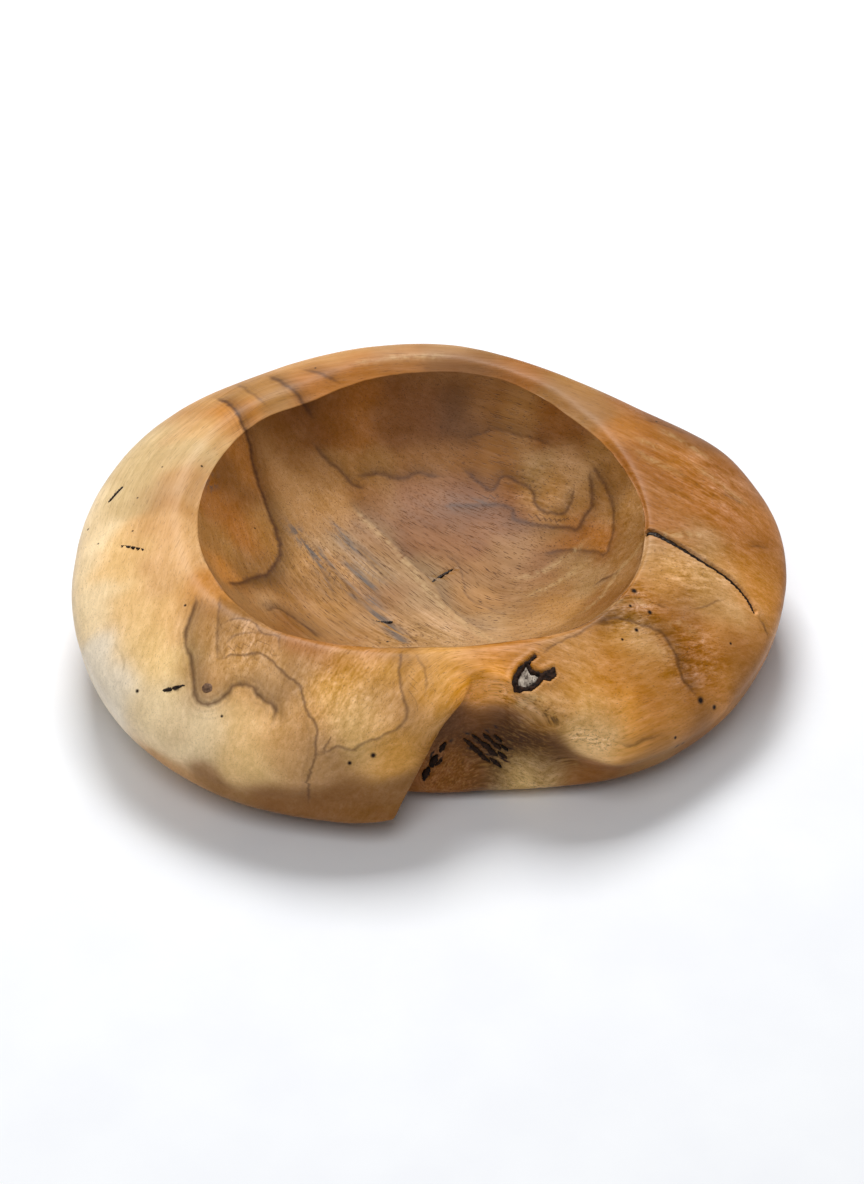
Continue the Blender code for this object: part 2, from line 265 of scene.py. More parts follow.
    def points(self, t: np.ndarray, spokes: np.ndarray) -> np.ndarray:
        """Points of the form.

        Args:
            t: 0 in the middle of the hollow, 1 on the lip, then one more at each level ring, and
                8 in the middle of the foot.
            spokes: The spoke angle of each point.

        Returns:
            An array of points, in millimetres.
        """
        rings = np.stack([self.level(index, spokes) for index in range(len(self.LEVELS))])
        rings = np.concatenate([2 * rings[:1] - rings[1:2], rings, 2 * rings[-1:] - rings[-2:-1]])
        place = np.clip(t - self.LIP_T, 0, len(self.LEVELS) - 1)
        band = np.minimum(place.astype(int), len(self.LEVELS) - 2)
        u = (place - band)[:, None]
        which = np.arange(len(t))
        a, b, c, d = (rings[band + k, which] for k in range(4))
        bend = (2 * a - 5 * b + 4 * c - d) * u**2 + (3 * b - a - 3 * c + d) * u**3
        outer = (2 * b + (c - a) * u + bend) / 2
        share = np.sin(np.clip(t, 0, 1) * math.pi / 2)[:, None] ** self.SPREAD
        lip = rings[1]
        hollow = lip * share
        hollow[:, 2] = self.FLOOR + (lip[:, 2] - self.FLOOR) * share[:, 0] ** self.FLATNESS
        result = np.where((t <= self.LIP_T)[:, None], hollow, outer)
        return np.where((t > self.FOOT_T)[:, None], outer * (self.END_T - t)[:, None], result)

    def crowded_spokes(self, count: int) -> np.ndarray:
        """Spoke angles round the bowl, closest together where the fold needs them.

        Args:
            count: How many spokes.

        Returns:
            Their angles in degrees.
        """
        fine = np.linspace(0, 360, self.SPOKE_STEPS)
        turn = (fine - self.FOLD + 180) % 360 - 180
        density = np.ones_like(fine)
        for height, place, spread in self.CROWDING:
            density += height * np.exp(-(((turn - place) / spread) ** 2))
        total = np.concatenate([[0], np.cumsum((density[1:] + density[:-1]) / 2)])
        return np.interp(np.arange(count) / count, total / total[-1], fine)


# Filled checks and bark seams, in the places of the frame's own inlays.
CRACK = Seam(
    ((94.5, -16), (99, -17.6), (105, -20.6), (116, -26.4), (127, -31.4), (134, -36.8), (138, -43)),
    (3.0, 1.5, 1.2),
    4.0,
)
CHECKS = {
    "left_rim_check_filler": Seam(((-133.5, 9.8), (-130.5, 14), (-128, 17.4)), (1.0, 1.6, 1.0), 2.5),
    "left_face_check_filler": Seam(((-124.5, -22.2), (-119.5, -25.4), (-114, -29.2)), (0.9, 1.2, 0.9), 2.0),
    "front_check_filler": Seam(((-101.5, -96.7), (-97.5, -97.2), (-92.6, -97.6)), (1.4, 1.6, 0.9), 2.5),
    "long_floor_check_filler": Seam(((4.5, -5), (8.4, -0.8), (13.4, 3.8)), (1.0, 1.4, 0.8), 2.5),
    "short_floor_check_filler": Seam(((-20.5, -30.8), (-17, -32), (-12, -31.6)), (0.8, 1.2, 0.9), 2.0),
}
# Slivers of bark on the wall of the fold, at points of (x, z).
FOLD_BARK = {
    "fold_bark_left": (
        Seam(((10.0, 28.0), (8.6, 25.8), (7.6, 23.6)), (0.8, 2.2, 0.8), 3.0, True),
        Seam(((6.8, 22.4), (5.2, 20.2), (4.0, 17.6)), (1.0, 3.2, 1.6), 3.0, True),
        Seam(((3.4, 17.4), (2.0, 15.0), (1.2, 12.4)), (1.4, 3.0, 0.9), 3.0, True),
        Seam(((8.6, 20.4), (7.0, 19.0), (5.6, 18.2)), (0.5, 1.1, 0.5), 2.0, True),
    ),
    "fold_bark_middle": tuple(
        Seam(
            ((x, z), (x + 0.6 * run, z - 0.5 * run), (x + 1.2 * run, z - run)),
            (0.6, 1.35 * width, 0.6),
            2.0,
            True,
        )
        for x, z, run, width in (
            (17.0, 29.4, 3.4, 1.1), (20.2, 31.4, 3.0, 0.9), (19.4, 26.6, 4.2, 1.6), (23.0, 28.6, 4.0, 1.7),
            (24.6, 31.8, 3.2, 1.1), (22.6, 23.0, 4.2, 1.3), (26.2, 25.2, 3.6, 1.8), (28.0, 28.4, 3.2, 1.2),
            (29.0, 31.6, 2.6, 0.8), (27.4, 20.6, 4.0, 1.4), (30.6, 23.4, 3.0, 1.2), (31.8, 27.0, 2.4, 0.8),
            (21.4, 25.0, 2.2, 0.8), (25.4, 27.6, 2.0, 0.7),
        )
    ),
}
KNOT_BARK_OUTLINE = (
    (44.8, -90), (42, -92.6), (38.8, -95.2), (36.4, -99.4), (35.6, -102.6), (36.2, -104.6),
    (39, -105.8), (42.9, -105.6), (45.9, -102.8), (47.9, -100.2), (50.5, -100.4), (53.2, -97.6),
    (52.2, -95), (49.2, -96.4), (46.6, -97.2), (44.2, -96.6), (42.9, -94.9), (43.2, -93.2),
    (45.6, -91.2),
)
KNOT_WOOD_OUTLINE = (
    (41.1, -95), (38.4, -99.8), (38.2, -103.2), (41.4, -103.8), (44.6, -100.9), (45.8, -98.9),
    (42.8, -98.2),
)
PIN_KNOT_PLACE = (-83.3, -101.0)
PIN_KNOT_RADII = (2.6, 2.0)

# Growth lines of the root where the carving cuts across them.
FIGURE = (
    # Across the left rim and down into the hollow.
    FigureLine(((-92, 75), (-86, 67), (-80, 56), (-77, 50), (-75, 46), (-72, 37), (-68, 29), (-63, 17),
                (-61, 7), (-62, 1), (-66, -11), (-71, -18), (-80, -39)), 1.7, 0.95, 8.0, 0.35),
    FigureLine(((-84, 88), (-77, 75), (-71, 67), (-68, 65)), 1.5, 0.47, 5.0, 0.12),
    FigureLine(((-70, 89), (-62, 80), (-56, 74), (-52, 70), (-48, 68)), 1.9, 0.81, 6.0, 0.25),
    FigureLine(((-55, 92), (-45, 87), (-36, 84)), 1.7, 0.61, 6.0, 0.2),
    # The back wall of the hollow.
    FigureLine(((-49, 62), (-44, 59), (-36, 56), (-32, 53), (-27, 52), (-25, 55)), 1.5, 0.68, 4.0, 0.2),
    FigureLine(((-31, 57), (-26, 58), (-19, 61), (-13, 60), (-8, 60), (-2, 63), (4, 62),
                (10, 61)), 1.7, 0.68, 5.0, 0.2),
    FigureLine(((18, 77), (28, 77), (33, 77), (45, 70), (53, 64), (59, 57)), 1.3, 0.47, 6.0, 0.2),
    FigureLine(((18, 65), (23, 60), (27, 55), (32, 52), (35, 57), (40, 55), (45, 50), (49, 45), (50, 39),
                (53, 34), (58, 31), (62, 28), (64, 30), (66, 34), (67, 39)), 1.3, 0.74, 5.0, 0.2),
    FigureLine(((8, 46), (15, 46), (22, 45), (33, 44), (40, 39), (41, 34), (48, 29), (55, 25), (61, 22),
                (68, 17), (71, 22), (74, 24), (74, 33), (73, 41)), 1.9, 0.81, 6.0, -0.2),
    FigureLine(((74, 42), (79, 30), (82, 18), (82, 5), (80, -3), (78, -7), (74, -1), (66, 6), (59, 9),
                (51, 10)), 1.5, 0.68, 5.0, 0.2),
    FigureLine(((10, 15), (16, 6), (18, -5), (20, -16), (28, -23), (36, -29)), 0.8, 0.34, 3.0, 0.1),
    # Edge of the weathered grey band on the hollow's floor.
    FigureLine(((-34, 46), (-30, 41), (-20, 31), (-12, 20), (-5, 8), (5, -5), (10, -19), (16, -28),
                (24, -37), (29, -43)), 1.1, 0.2, 7.0, 0.18),
    FigureLine(((-58, 26), (-53, 19), (-46, 8), (-40, -6), (-37, -17)), 0.9, 0.47, 3.0, 0.1),
    FigureLine(((-41, 32), (-33, 21), (-25, 12), (-18, 1), (-12, -7)), 0.9, 0.47, 3.0, 0.1),
    FigureLine(((-50, 20), (-44, 11), (-37, 0), (-30, -12), (-26, -22)), 0.8, 0.41, 2.0, 0.1),
    FigureLine(((-34, 10), (-27, 0), (-21, -10), (-15, -20)), 0.8, 0.41, 2.0, 0.1),
    FigureLine(((-12, -31), (-6, -40), (-1, -51)), 0.8, 0.47, 2.0, 0.1),
    FigureLine(((-65, -42), (-61, -34), (-55, -36), (-47, -43), (-41, -51)), 1.3, 0.68, 5.0, 0.25),
    FigureLine(((84, -24), (81, -25), (76, -23), (72, -24)), 1.1, 0.68, 3.0, 0.2),
    # The tongue of heartwood on the front shoulder.
    FigureLine(((-89, -61), (-91, -70), (-93, -76), (-92, -83), (-90, -90), (-89, -97), (-88, -103),
                (-85, -106), (-80, -107), (-75, -105), (-73, -103), (-68, -103), (-64, -105),
                (-63, -108), (-58, -111), (-56, -114), (-57, -119)), 1.5, 0.81, 7.0, 0.3),
    FigureLine(((-80, -59), (-80, -71), (-80, -79), (-80, -86), (-79, -93)), 0.9, 0.47, 3.0, 0.15),
    FigureLine(((-79, -93), (-74, -91), (-68, -92), (-63, -92), (-60, -94), (-54, -100), (-47, -106),
                (-45, -111), (-43, -117), (-40, -121), (-40, -127), (-41, -132),
                (-44, -135)), 0.9, 0.68, 3.0, -0.12),
    FigureLine(((-79, -78), (-74, -76), (-67, -77), (-62, -84), (-56, -86),
                (-55, -93)), 0.8, 0.54, 3.0, 0.12),
    FigureLine(((-78, -88), (-74, -84), (-68, -83), (-62, -84)), 0.8, 0.47, 2.0, 0.1),
    FigureLine(((-127, -70), (-123, -71), (-120, -76), (-118, -82), (-120, -86)), 0.9, 0.16, 3.0, 0.04),
    # The front lobe, left of the fold.
    FigureLine(((-7, -90), (-8, -98), (-8, -104), (-7, -110), (-5, -117), (-8, -122), (-14, -125),
                (-21, -127), (-26, -129), (-31, -128), (-40, -130)), 0.9, 0.61, 5.0, 0.15),
    FigureLine(((-3, -92), (0, -97), (2, -103), (2, -112)), 0.8, 0.41, 3.0, 0.1),
    # Right of the fold, and the burl beyond it.
    FigureLine(((46, -91), (51, -87), (57, -83), (63, -80), (68, -75), (79, -72)), 0.9, 0.47, 3.0, 0.15),
    FigureLine(((67, -75), (77, -70), (85, -69), (93, -69), (97, -70), (101, -75), (103, -80), (104, -84),
                (108, -86), (111, -88)), 1.3, 0.68, 6.0, 0.25),
    FigureLine(((95, -57), (99, -57)), 1.1, 0.81, 2.0, 0.2),
    FigureLine(((76, -114), (82, -113), (87, -110), (96, -105)), 1.1, 0.47, 3.0, 0.2),
    FigureLine(((108, -55), (116, -50), (125, -42)), 0.6, 0.47, 2.0, 0.1),
    FigureLine(((139, -45), (141, -47), (143, -51)), 0.9, 0.68, 2.0, 0.1),
    # A thin dark line drawn along the front lip.
    FigureLine(((-90, -33), (-79, -55), (-60, -77), (-40, -85.5), (-15.6, -88.5), (4.6, -87), (22.8, -85),
                (38, -82), (59.7, -76.4), (74.3, -64.6), (88, -41), (93, -16.4)), 0.8, 0.5, 3.0, 0.1),
    # The right wing.
    FigureLine(((96, 62), (108, 62), (120, 59)), 1.1, 0.41, 4.0, 0.15),
    FigureLine(((128, 18), (133, 17), (139, 16)), 0.9, 0.47, 3.0, 0.15),
    FigureLine(((137, -11), (148, -5)), 0.9, 0.41, 3.0, 0.15),
)

# Tones of the outside and the rim, at plan points.
RIM_TONES = {
    Tone.BONE: ((-128, -74), (-120, -88), (-138, -68)),
    Tone.PEARL: ((-142, 10), (-140, -18), (-134, -50), (-108, -98), (-82, -115), (-95, -108)),
    Tone.CREAM: ((-112, -78), (-98, -88), (-66, -126), (-24, -121)),
    Tone.BUTTER: ((-124, -30), (-118, -58), (-100, -68), (-70, -116), (70, -112)),
    Tone.STRAW: ((-72, -98), (-58, -118), (-96, -72), (-34, -118), (60, -86), (102, -38)),
    Tone.WHEAT: ((-104, 30), (-128, 34), (-125, 8), (-116, 50)),
    Tone.MAIZE: ((-108, -20), (-105, -45), (-60, -100), (90, -76), (122, -42), (130, -50),
        (118, -34)),
    Tone.FLAX: ((26, -100), (80, -106)),
    Tone.BUFF: ((-30, -105), (-12, -100), (4, -96), (-12, -126)),
    Tone.HONEY: ((-92, 44),),
    Tone.GOLD: ((-88, -75), (-84, -95), (-66, -88), (-50, -128), (-8, -117), (50, -104), (90, -44),
        (-35, 105), (-58, 97), (-104, 54), (-100, 14)),
    Tone.APRICOT: ((0, -106), (15, -92), (62, -102), (56, -97), (78, -72)),
    Tone.AMBER: ((-106, 5), (95, -30), (118, -18), (10, 111), (-12, 111)),
    Tone.SAND: ((-18, -112), (112, -46), (108, -30), (125, -24), (-94, 72), (-99, -6)),
    Tone.FAWN: ((33, -90), (75, -97), (92, -102), (135, -28), (145, -38), (120, -82), (-84, 60)),
    Tone.CARAMEL: ((-48, -104), (-36, -130)),
    Tone.TAN: ((-86, -64), (120, -62), (94, -50)),
    Tone.GINGER: ((25, -92), (45, -88), (70, -84), (88, -88), (100, -94), (142, -20), (138, -54)),
    Tone.OCHRE: ((70, 88), (-70, 73), (-78, 85)),
    Tone.DRAB: ((30, 110),),
    Tone.HAZEL: ((-22, -95), (40, -84), (112, -84), (95, -64), (104, -66), (148, 10), (112, 38),
        (95, 55), (-30, 93), (-52, 84)),
    Tone.COPPER: ((-72, -70), (78, 72)),
    Tone.RUSSET: ((-50, -88), (-36, -92), (85, -58), (112, -74), (130, -68), (132, -14), (115, 5),
        (130, 0), (146, -6), (118, 22), (134, 20), (-10, 99)),
    Tone.WALNUT: ((60, 84),),
    Tone.CHESTNUT: ((58, -78), (55, -92), (100, 0), (106, -12), (103, 18), (98, 36), (127, 38),
        (138, 32), (108, 54), (92, 72), (45, 93), (48, 104)),
    Tone.SEPIA: ((104, -55), (28, 99), (10, 101)),
    Tone.COCOA: ((-5, -92), (120, 52), (104, 66)),
    Tone.PEAT: ((75, -64), (68, -68)),
}
# Tones of the wall of the fold, at points of (x, z).
FOLD_TONES = {
    Tone.CREAM: ((38, 12), (46, 12)),
    Tone.RUSSET: ((8, 20),),
    Tone.CHESTNUT: ((62, 14), (10, 10)),
    Tone.COCOA: ((22, 38),),
    Tone.PEAT: ((18, 12),),
    Tone.SOOT: ((15, 30), (46, 22), (52, 18)),
    Tone.TAR: ((28, 12), (36, 24), (30, 32)),
}
# Tones of the hollow, at plan points.
HOLLOW_TONES = {
    Tone.AMBER: ((-68, -34), (6, -34), (26, -38), (66, 44), (32, -70), (14, -76), (8, -54),
        (28, -54)),
    Tone.SAND: ((-56, 6),),
    Tone.CARAMEL: ((-66, 46), (-55, 40), (-52, 24), (-14, -34), (46, -38), (-4, -79), (-12, -54)),
    Tone.TAN: ((-76, -28),),
    Tone.OCHRE: ((-84, -10), (-68, 16), (87, 8), (-38, 40), (-38, 0), (-36, -20), (22, -18),
        (54, 40), (58, -32)),
    Tone.DRAB: ((-38, 20), (-20, 6), (0, 4), (2, -14), (50, 56), (66, -4), (70, -18)),
    Tone.HAZEL: ((-74, 40), (-76, 6)),
    Tone.COPPER: ((44, 76), (82, -28), (-66, -48), (-50, -32), (-40, 56), (-34, -40), (20, 2),
        (54, 22), (76, 22), (-22, -79), (-34, -56)),
    Tone.RUSSET: ((-84, 10), (77, 4)),
    Tone.WALNUT: ((-70, 0), (-74, -14), (78, 42), (84, 26), (87, -8), (62, -54), (-54, -14),
        (-20, 64), (-20, 26), (-18, -14), (38, 14), (38, -4), (42, -22), (56, -14), (68, 30),
        (48, -64)),
    Tone.CHESTNUT: ((-28, 77), (68, 14)),
    Tone.UMBER: ((-80, 26), (-60, 58), (28, 82), (74, -42), (-54, -46), (-22, 46), (-2, 68),
        (18, 68), (34, 66), (54, 4), (-40, -73), (-56, -60)),
    Tone.SEPIA: ((-40, 72), (56, 68), (0, 54), (0, 22), (20, 20), (36, 48), (38, 32)),
    Tone.COCOA: ((68, 56), (0, 38)),
    Tone.PEAT: ((-52, 66), (-14, 80), (0, 82), (18, 54), (20, 38)),
    Tone.SOOT: ((14, 82),),
}

# Bundles of weathered grey fibres on the hollow's floor, and pale brushed streaks, at plan points.
GREY_STREAKS = (
    ((-58, 26), (-53, 19), (-46, 8), (-40, -6), (-37, -17)),
    ((-41, 32), (-33, 21), (-25, 12), (-18, 1), (-12, -7)),
    ((-48, 16), (-41, 6), (-34, -6), (-28, -18)),
    ((-24, -14), (-18, -26), (-12, -38), (-6, -50)),
    ((-34, 10), (-27, 0), (-20, -12)),
    ((-22, -22), (-16, -34)),
    ((10, 46), (20, 46), (30, 44)),
    ((-92, 12), (-88, 22)),
)
PALE_STREAKS = (
    ((-30, 41), (-12, 18), (0, -6), (14, -30)),
    ((8, -20), (20, -36), (30, -48)),
    ((40, -4), (52, -2), (64, 6)),
    ((44, -18), (56, -12), (68, -6)),
    ((60, 2), (70, 8)),
    ((93, 47), (100, 43), (106, 40)),
    ((92, 38), (99, 32), (106, 28), (112, 24)),
    ((118, 34), (128, 26), (140, 16)),
    ((104, 58), (116, 50), (126, 42)),
    ((97, -18), (105, -16), (113, -13), (119, -11)),
    ((58, -74), (66, -70), (76, -64)),
    ((72, -62), (82, -60), (92, -58)),
    ((92, -18), (89, -23), (83, -24), (79, -30), (74, -37), (66, -42)),
    ((98, -66), (106, -62), (112, -66)),
    ((-30, 96), (-10, 101), (12, 102)),
    ((36, -106), (42, -108), (50, -107)),
)
# Where the grain is more strongly marked than elsewhere: plan place, reach and how much more.
STRONG_GRAIN = (
    (-32, 0, 26, 0.8),
    (-6, -40, 20, 0.8),
    (84, -62, 14, 1.3),
    (108, -74, 14, 1.1),
    (-68, -86, 16, 0.7),
    (122, 22, 28, 0.7),
    (110, -34, 18, 0.7),
    (-30, -108, 22, 0.6),
    (50, 40, 20, 0.5),
    (0, 0, 62, 0.2),
    (120, 0, 50, 0.35),
    (40, -100, 45, 0.35),
)
# The ridge of torn fibres to the right of the fold, in plan.
RIDGE = ((29, -102), (34, -104.5), (42.5, -109), (50, -112.5), (58.5, -114), (67, -115), (76, -114.5))

# Worm holes, pips and small dark specks: plan place and radius.
SPECKS = (
    (-14, -47, 0.5), (-112, -93, 0.7), (-94, -65, 0.5), (-120, 5, 0.4), (-111, 23, 0.4), (-94, 23, 0.5),
    (-141, -3, 0.5), (-135, -16, 0.4), (-120, -16, 0.4), (-18, -130, 0.9), (-27, -132, 0.7),
    (-77, -112, 0.5), (-60, -54, 0.3), (-72, 14, 0.4), (10, -1, 0.3), (86, -54, 1.1), (92, -62, 0.9),
    (84, -62, 0.6), (73, -63, 0.7), (86, -72, 0.8), (80, -78, 0.5), (104, -103, 0.9), (106, -100, 0.7),
    (118, -87, 0.9), (112, -88, 1.3), (101, -103, 0.6), (126, -62, 0.5), (-48, 92, 0.4), (104, 64, 0.5),
)
# Short flecks of bark on the wall of the fold, at points of (x, z).
FOLD_FLECKS = (
    ((17, 33), (20, 31)), ((20, 29), (24, 27)), ((25, 34), (28, 32)), ((24, 24), (29, 21)),
    ((29, 29), (33, 26)), ((31, 22), (36, 18)), ((18, 26), (21, 24)), ((34, 27), (37, 25)),
    ((13, 30), (11, 28)), ((6, 25), (3, 20)), ((9, 22), (6, 18)), ((28, 36), (31, 35)),
)

# Tones low on the sides and underneath, at points in space; the walnut and umber ones low on the front are
# partly painted shade, darker where the front curves under away from the light.
SIDE_TONES_AND_FRONT_SHADE = {
    Tone.WHEAT: ((-145, 20, 25), (-140, -60, 18), (-125, 40, 10)),
    Tone.GOLD: ((-125, 80, 20), (-60, 118, 25), (-100, 0, 0), (-96, -112, 14), (0, -20, 0),
        (-60, 60, 0)),
    Tone.HAZEL: ((0, 122, 25), (60, 105, 25), (100, 90, 25), (60, 40, 0), (40, -90, 0)),
    Tone.RUSSET: ((130, 70, 25), (150, 20, 20), (148, -30, 20), (100, 0, 0), (136, -52, 30)),
    Tone.WALNUT: ((-78, -126, 22), (92, -109, 20), (-10, -128, 20), (126, -66, 28)),
    Tone.UMBER: ((-58, -132, 22), (-36, -134, 17), (-17, -134, 17), (-48, -130, 10), (70, -110, 8),
        (112, -88, 22)),
}

OUTSIDE_GRAIN = (
    GrainZone(-125, 0, 30, 80),
    GrainZone(-100, 60, 30, 55),
    GrainZone(-50, 100, 30, 15),
    GrainZone(20, 112, 30, -8),
    GrainZone(90, 70, 30, -36),
    GrainZone(130, 20, 30, -38),
    GrainZone(110, -45, 25, 10),
    GrainZone(100, -90, 25, 30),
    GrainZone(60, -95, 18, -15),
    GrainZone(30, -90, 12, 20),
    GrainZone(36, -106, 7, -62),
    GrainZone(47, -112, 7, -62),
    GrainZone(58, -115, 7, -60),
    GrainZone(68, -116, 7, -55),
    GrainZone(-20, -110, 22, 58),
    GrainZone(-60, -100, 22, 70),
    GrainZone(-100, -85, 25, 75),
    GrainZone(-130, -60, 20, 80),
)
HOLLOW_GRAIN = (
    GrainZone(-75, 0, 22, -75),
    GrainZone(-35, 0, 30, -57),
    GrainZone(-10, -45, 28, -50),
    GrainZone(-60, 50, 22, -40),
    GrainZone(0, 70, 30, -22),
    GrainZone(40, 55, 25, -25),
    GrainZone(20, 15, 25, -38),
    GrainZone(75, 20, 20, -50),
    GrainZone(50, -30, 22, 12),
)


def along_line(points: np.ndarray, spacing: float) -> np.ndarray:
    """Points close together on the smooth line through a few points.

    Args:
        points: The few points, in two or three dimensions.
        spacing: The greatest step wanted.

    Returns:
        The closer points, the two ends among them.
    """
    ends = np.concatenate([2 * points[:1] - points[1:2], points, 2 * points[-1:] - points[-2:-1]])
    parts = []
    for i in range(len(points) - 1):
        a, b, c, d = ends[i : i + 4]
        count = max(2, int(np.linalg.norm(c - b) / spacing) + 1)
        u = np.linspace(0, 1, count, endpoint=False)[:, None]
        bend = (2 * a - 5 * b + 4 * c - d) * u**2 + (3 * b - a - 3 * c + d) * u**3
        parts.append((2 * b + (c - a) * u + bend) / 2)
    return np.concatenate([*parts, points[-1:]])


def polygon_distance(outline: np.ndarray, places: np.ndarray) -> np.ndarray:
    """Plan distance from a closed outline, negative inside it.

    Args:
        outline: The outline's corners.
        places: Plan points to measure from.

    Returns:
        One distance for each place.
    """
    nearest = np.full(len(places), np.inf)
    inside = np.zeros(len(places), bool)
    for a, b in zip(outline, np.roll(outline, -1, axis=0)):
        edge = b - a
        share = np.clip(((places - a) @ edge) / (edge @ edge), 0, 1)
        nearest = np.minimum(nearest, np.linalg.norm(places - a - share[:, None] * edge, axis=1))
        crosses = (a[1] > places[:, 1]) != (b[1] > places[:, 1])
        rise = np.where(abs(edge[1]) > 1e-9, edge[1], 1e-9)
        inside ^= crosses & (places[:, 0] < a[0] + (places[:, 1] - a[1]) * edge[0] / rise)
    return np.where(inside, -nearest, nearest)


class Wood:
    """The smooth carved surface, which finds places on itself for lines and inlays."""

    SKY = 150.0

    def __init__(self, bm: bmesh.types.BMesh) -> None:
        """Keeps a search tree of the surface, in metres."""
        self.tree = BVHTree.FromBMesh(bm)

    def above(self, x: float, y: float) -> tuple[Vector, Vector]:
        """The surface point and normal under a plan point, in millimetres."""
        place, normal, _, _ = self.tree.ray_cast(Vector((x, y, self.SKY)) * MM, Vector((0, 0, -1)))
        if place is None:
            place, normal, _, _ = self.tree.find_nearest(Vector((x, y, 20.0)) * MM)
        return place / MM, normal

    def front(self, x: float, z: float) -> tuple[Vector, Vector]:
        """The surface point and normal of the fold's wall, seen along +Y, in millimetres."""
        place, normal, _, _ = self.tree.ray_cast(Vector((x, -self.SKY - 50, z)) * MM, Vector((0, 1, 0)))
        return place / MM, normal

    def trace(self, points: np.ndarray, from_front: bool = False) -> tuple[np.ndarray, np.ndarray]:
        """Lays a line on the wood.

        Args:
            points: Plan points, or points of (x, z) for a line on the fold's wall.
            from_front: Whether the line lies on the fold's wall.

        Returns:
            The line's surface points and normals, in millimetres.
        """
        look = self.front if from_front else self.above
        found = [look(float(a), float(b)) for a, b in points]
        return np.array([place for place, _ in found]), np.array([normal for _, normal in found])


def add_node(tree: bpy.types.NodeTree, kind: str, inputs: dict | None = None, **settings) -> bpy.types.Node:
    """Adds a node with its settings and links.

    Args:
        tree: The material's node tree.
        kind: The node's type.
        inputs: By input name or index: a value, a socket to link from, or a node to link from,
            which stands for its first output in use.
        **settings: Properties of the node.

    Returns:
        The node.
    """
    node = tree.nodes.new(kind)
    for name, setting in settings.items():
        setattr(node, name, setting)
    for key, source in (inputs or {}).items():
        if isinstance(source, bpy.types.Node):
            source = next(output for output in source.outputs if output.enabled)
        if isinstance(source, bpy.types.NodeSocket):
            tree.links.new(source, node.inputs[key])
        else:
            node.inputs[key].default_value = source
    return node


def new_material(name: str) -> tuple[bpy.types.Material, bpy.types.NodeTree, bpy.types.Node]:
    """Starts a material.

    Args:
        name: The material's name.

    Returns:
        The material, its node tree and its Principled shader.
    """
    material = bpy.data.materials.new(name)
    material.use_nodes = True
    tree = material.node_tree
    return material, tree, tree.nodes["Principled BSDF"]


@dataclass(frozen=True)
class Fibre:
    """Noise stretched along the fibres, at so many waves per millimetre each way."""

    along: float
    across: float
    detail: float
    warp: float
    plain: float
    strong: float


@dataclass(frozen=True)
class Mark:
    """A tint laid where one of the grain's noises is high or low, and the body says how much."""

    noise: str
    gain: float
    start: float
    amount: str
    most: float
    colour: str


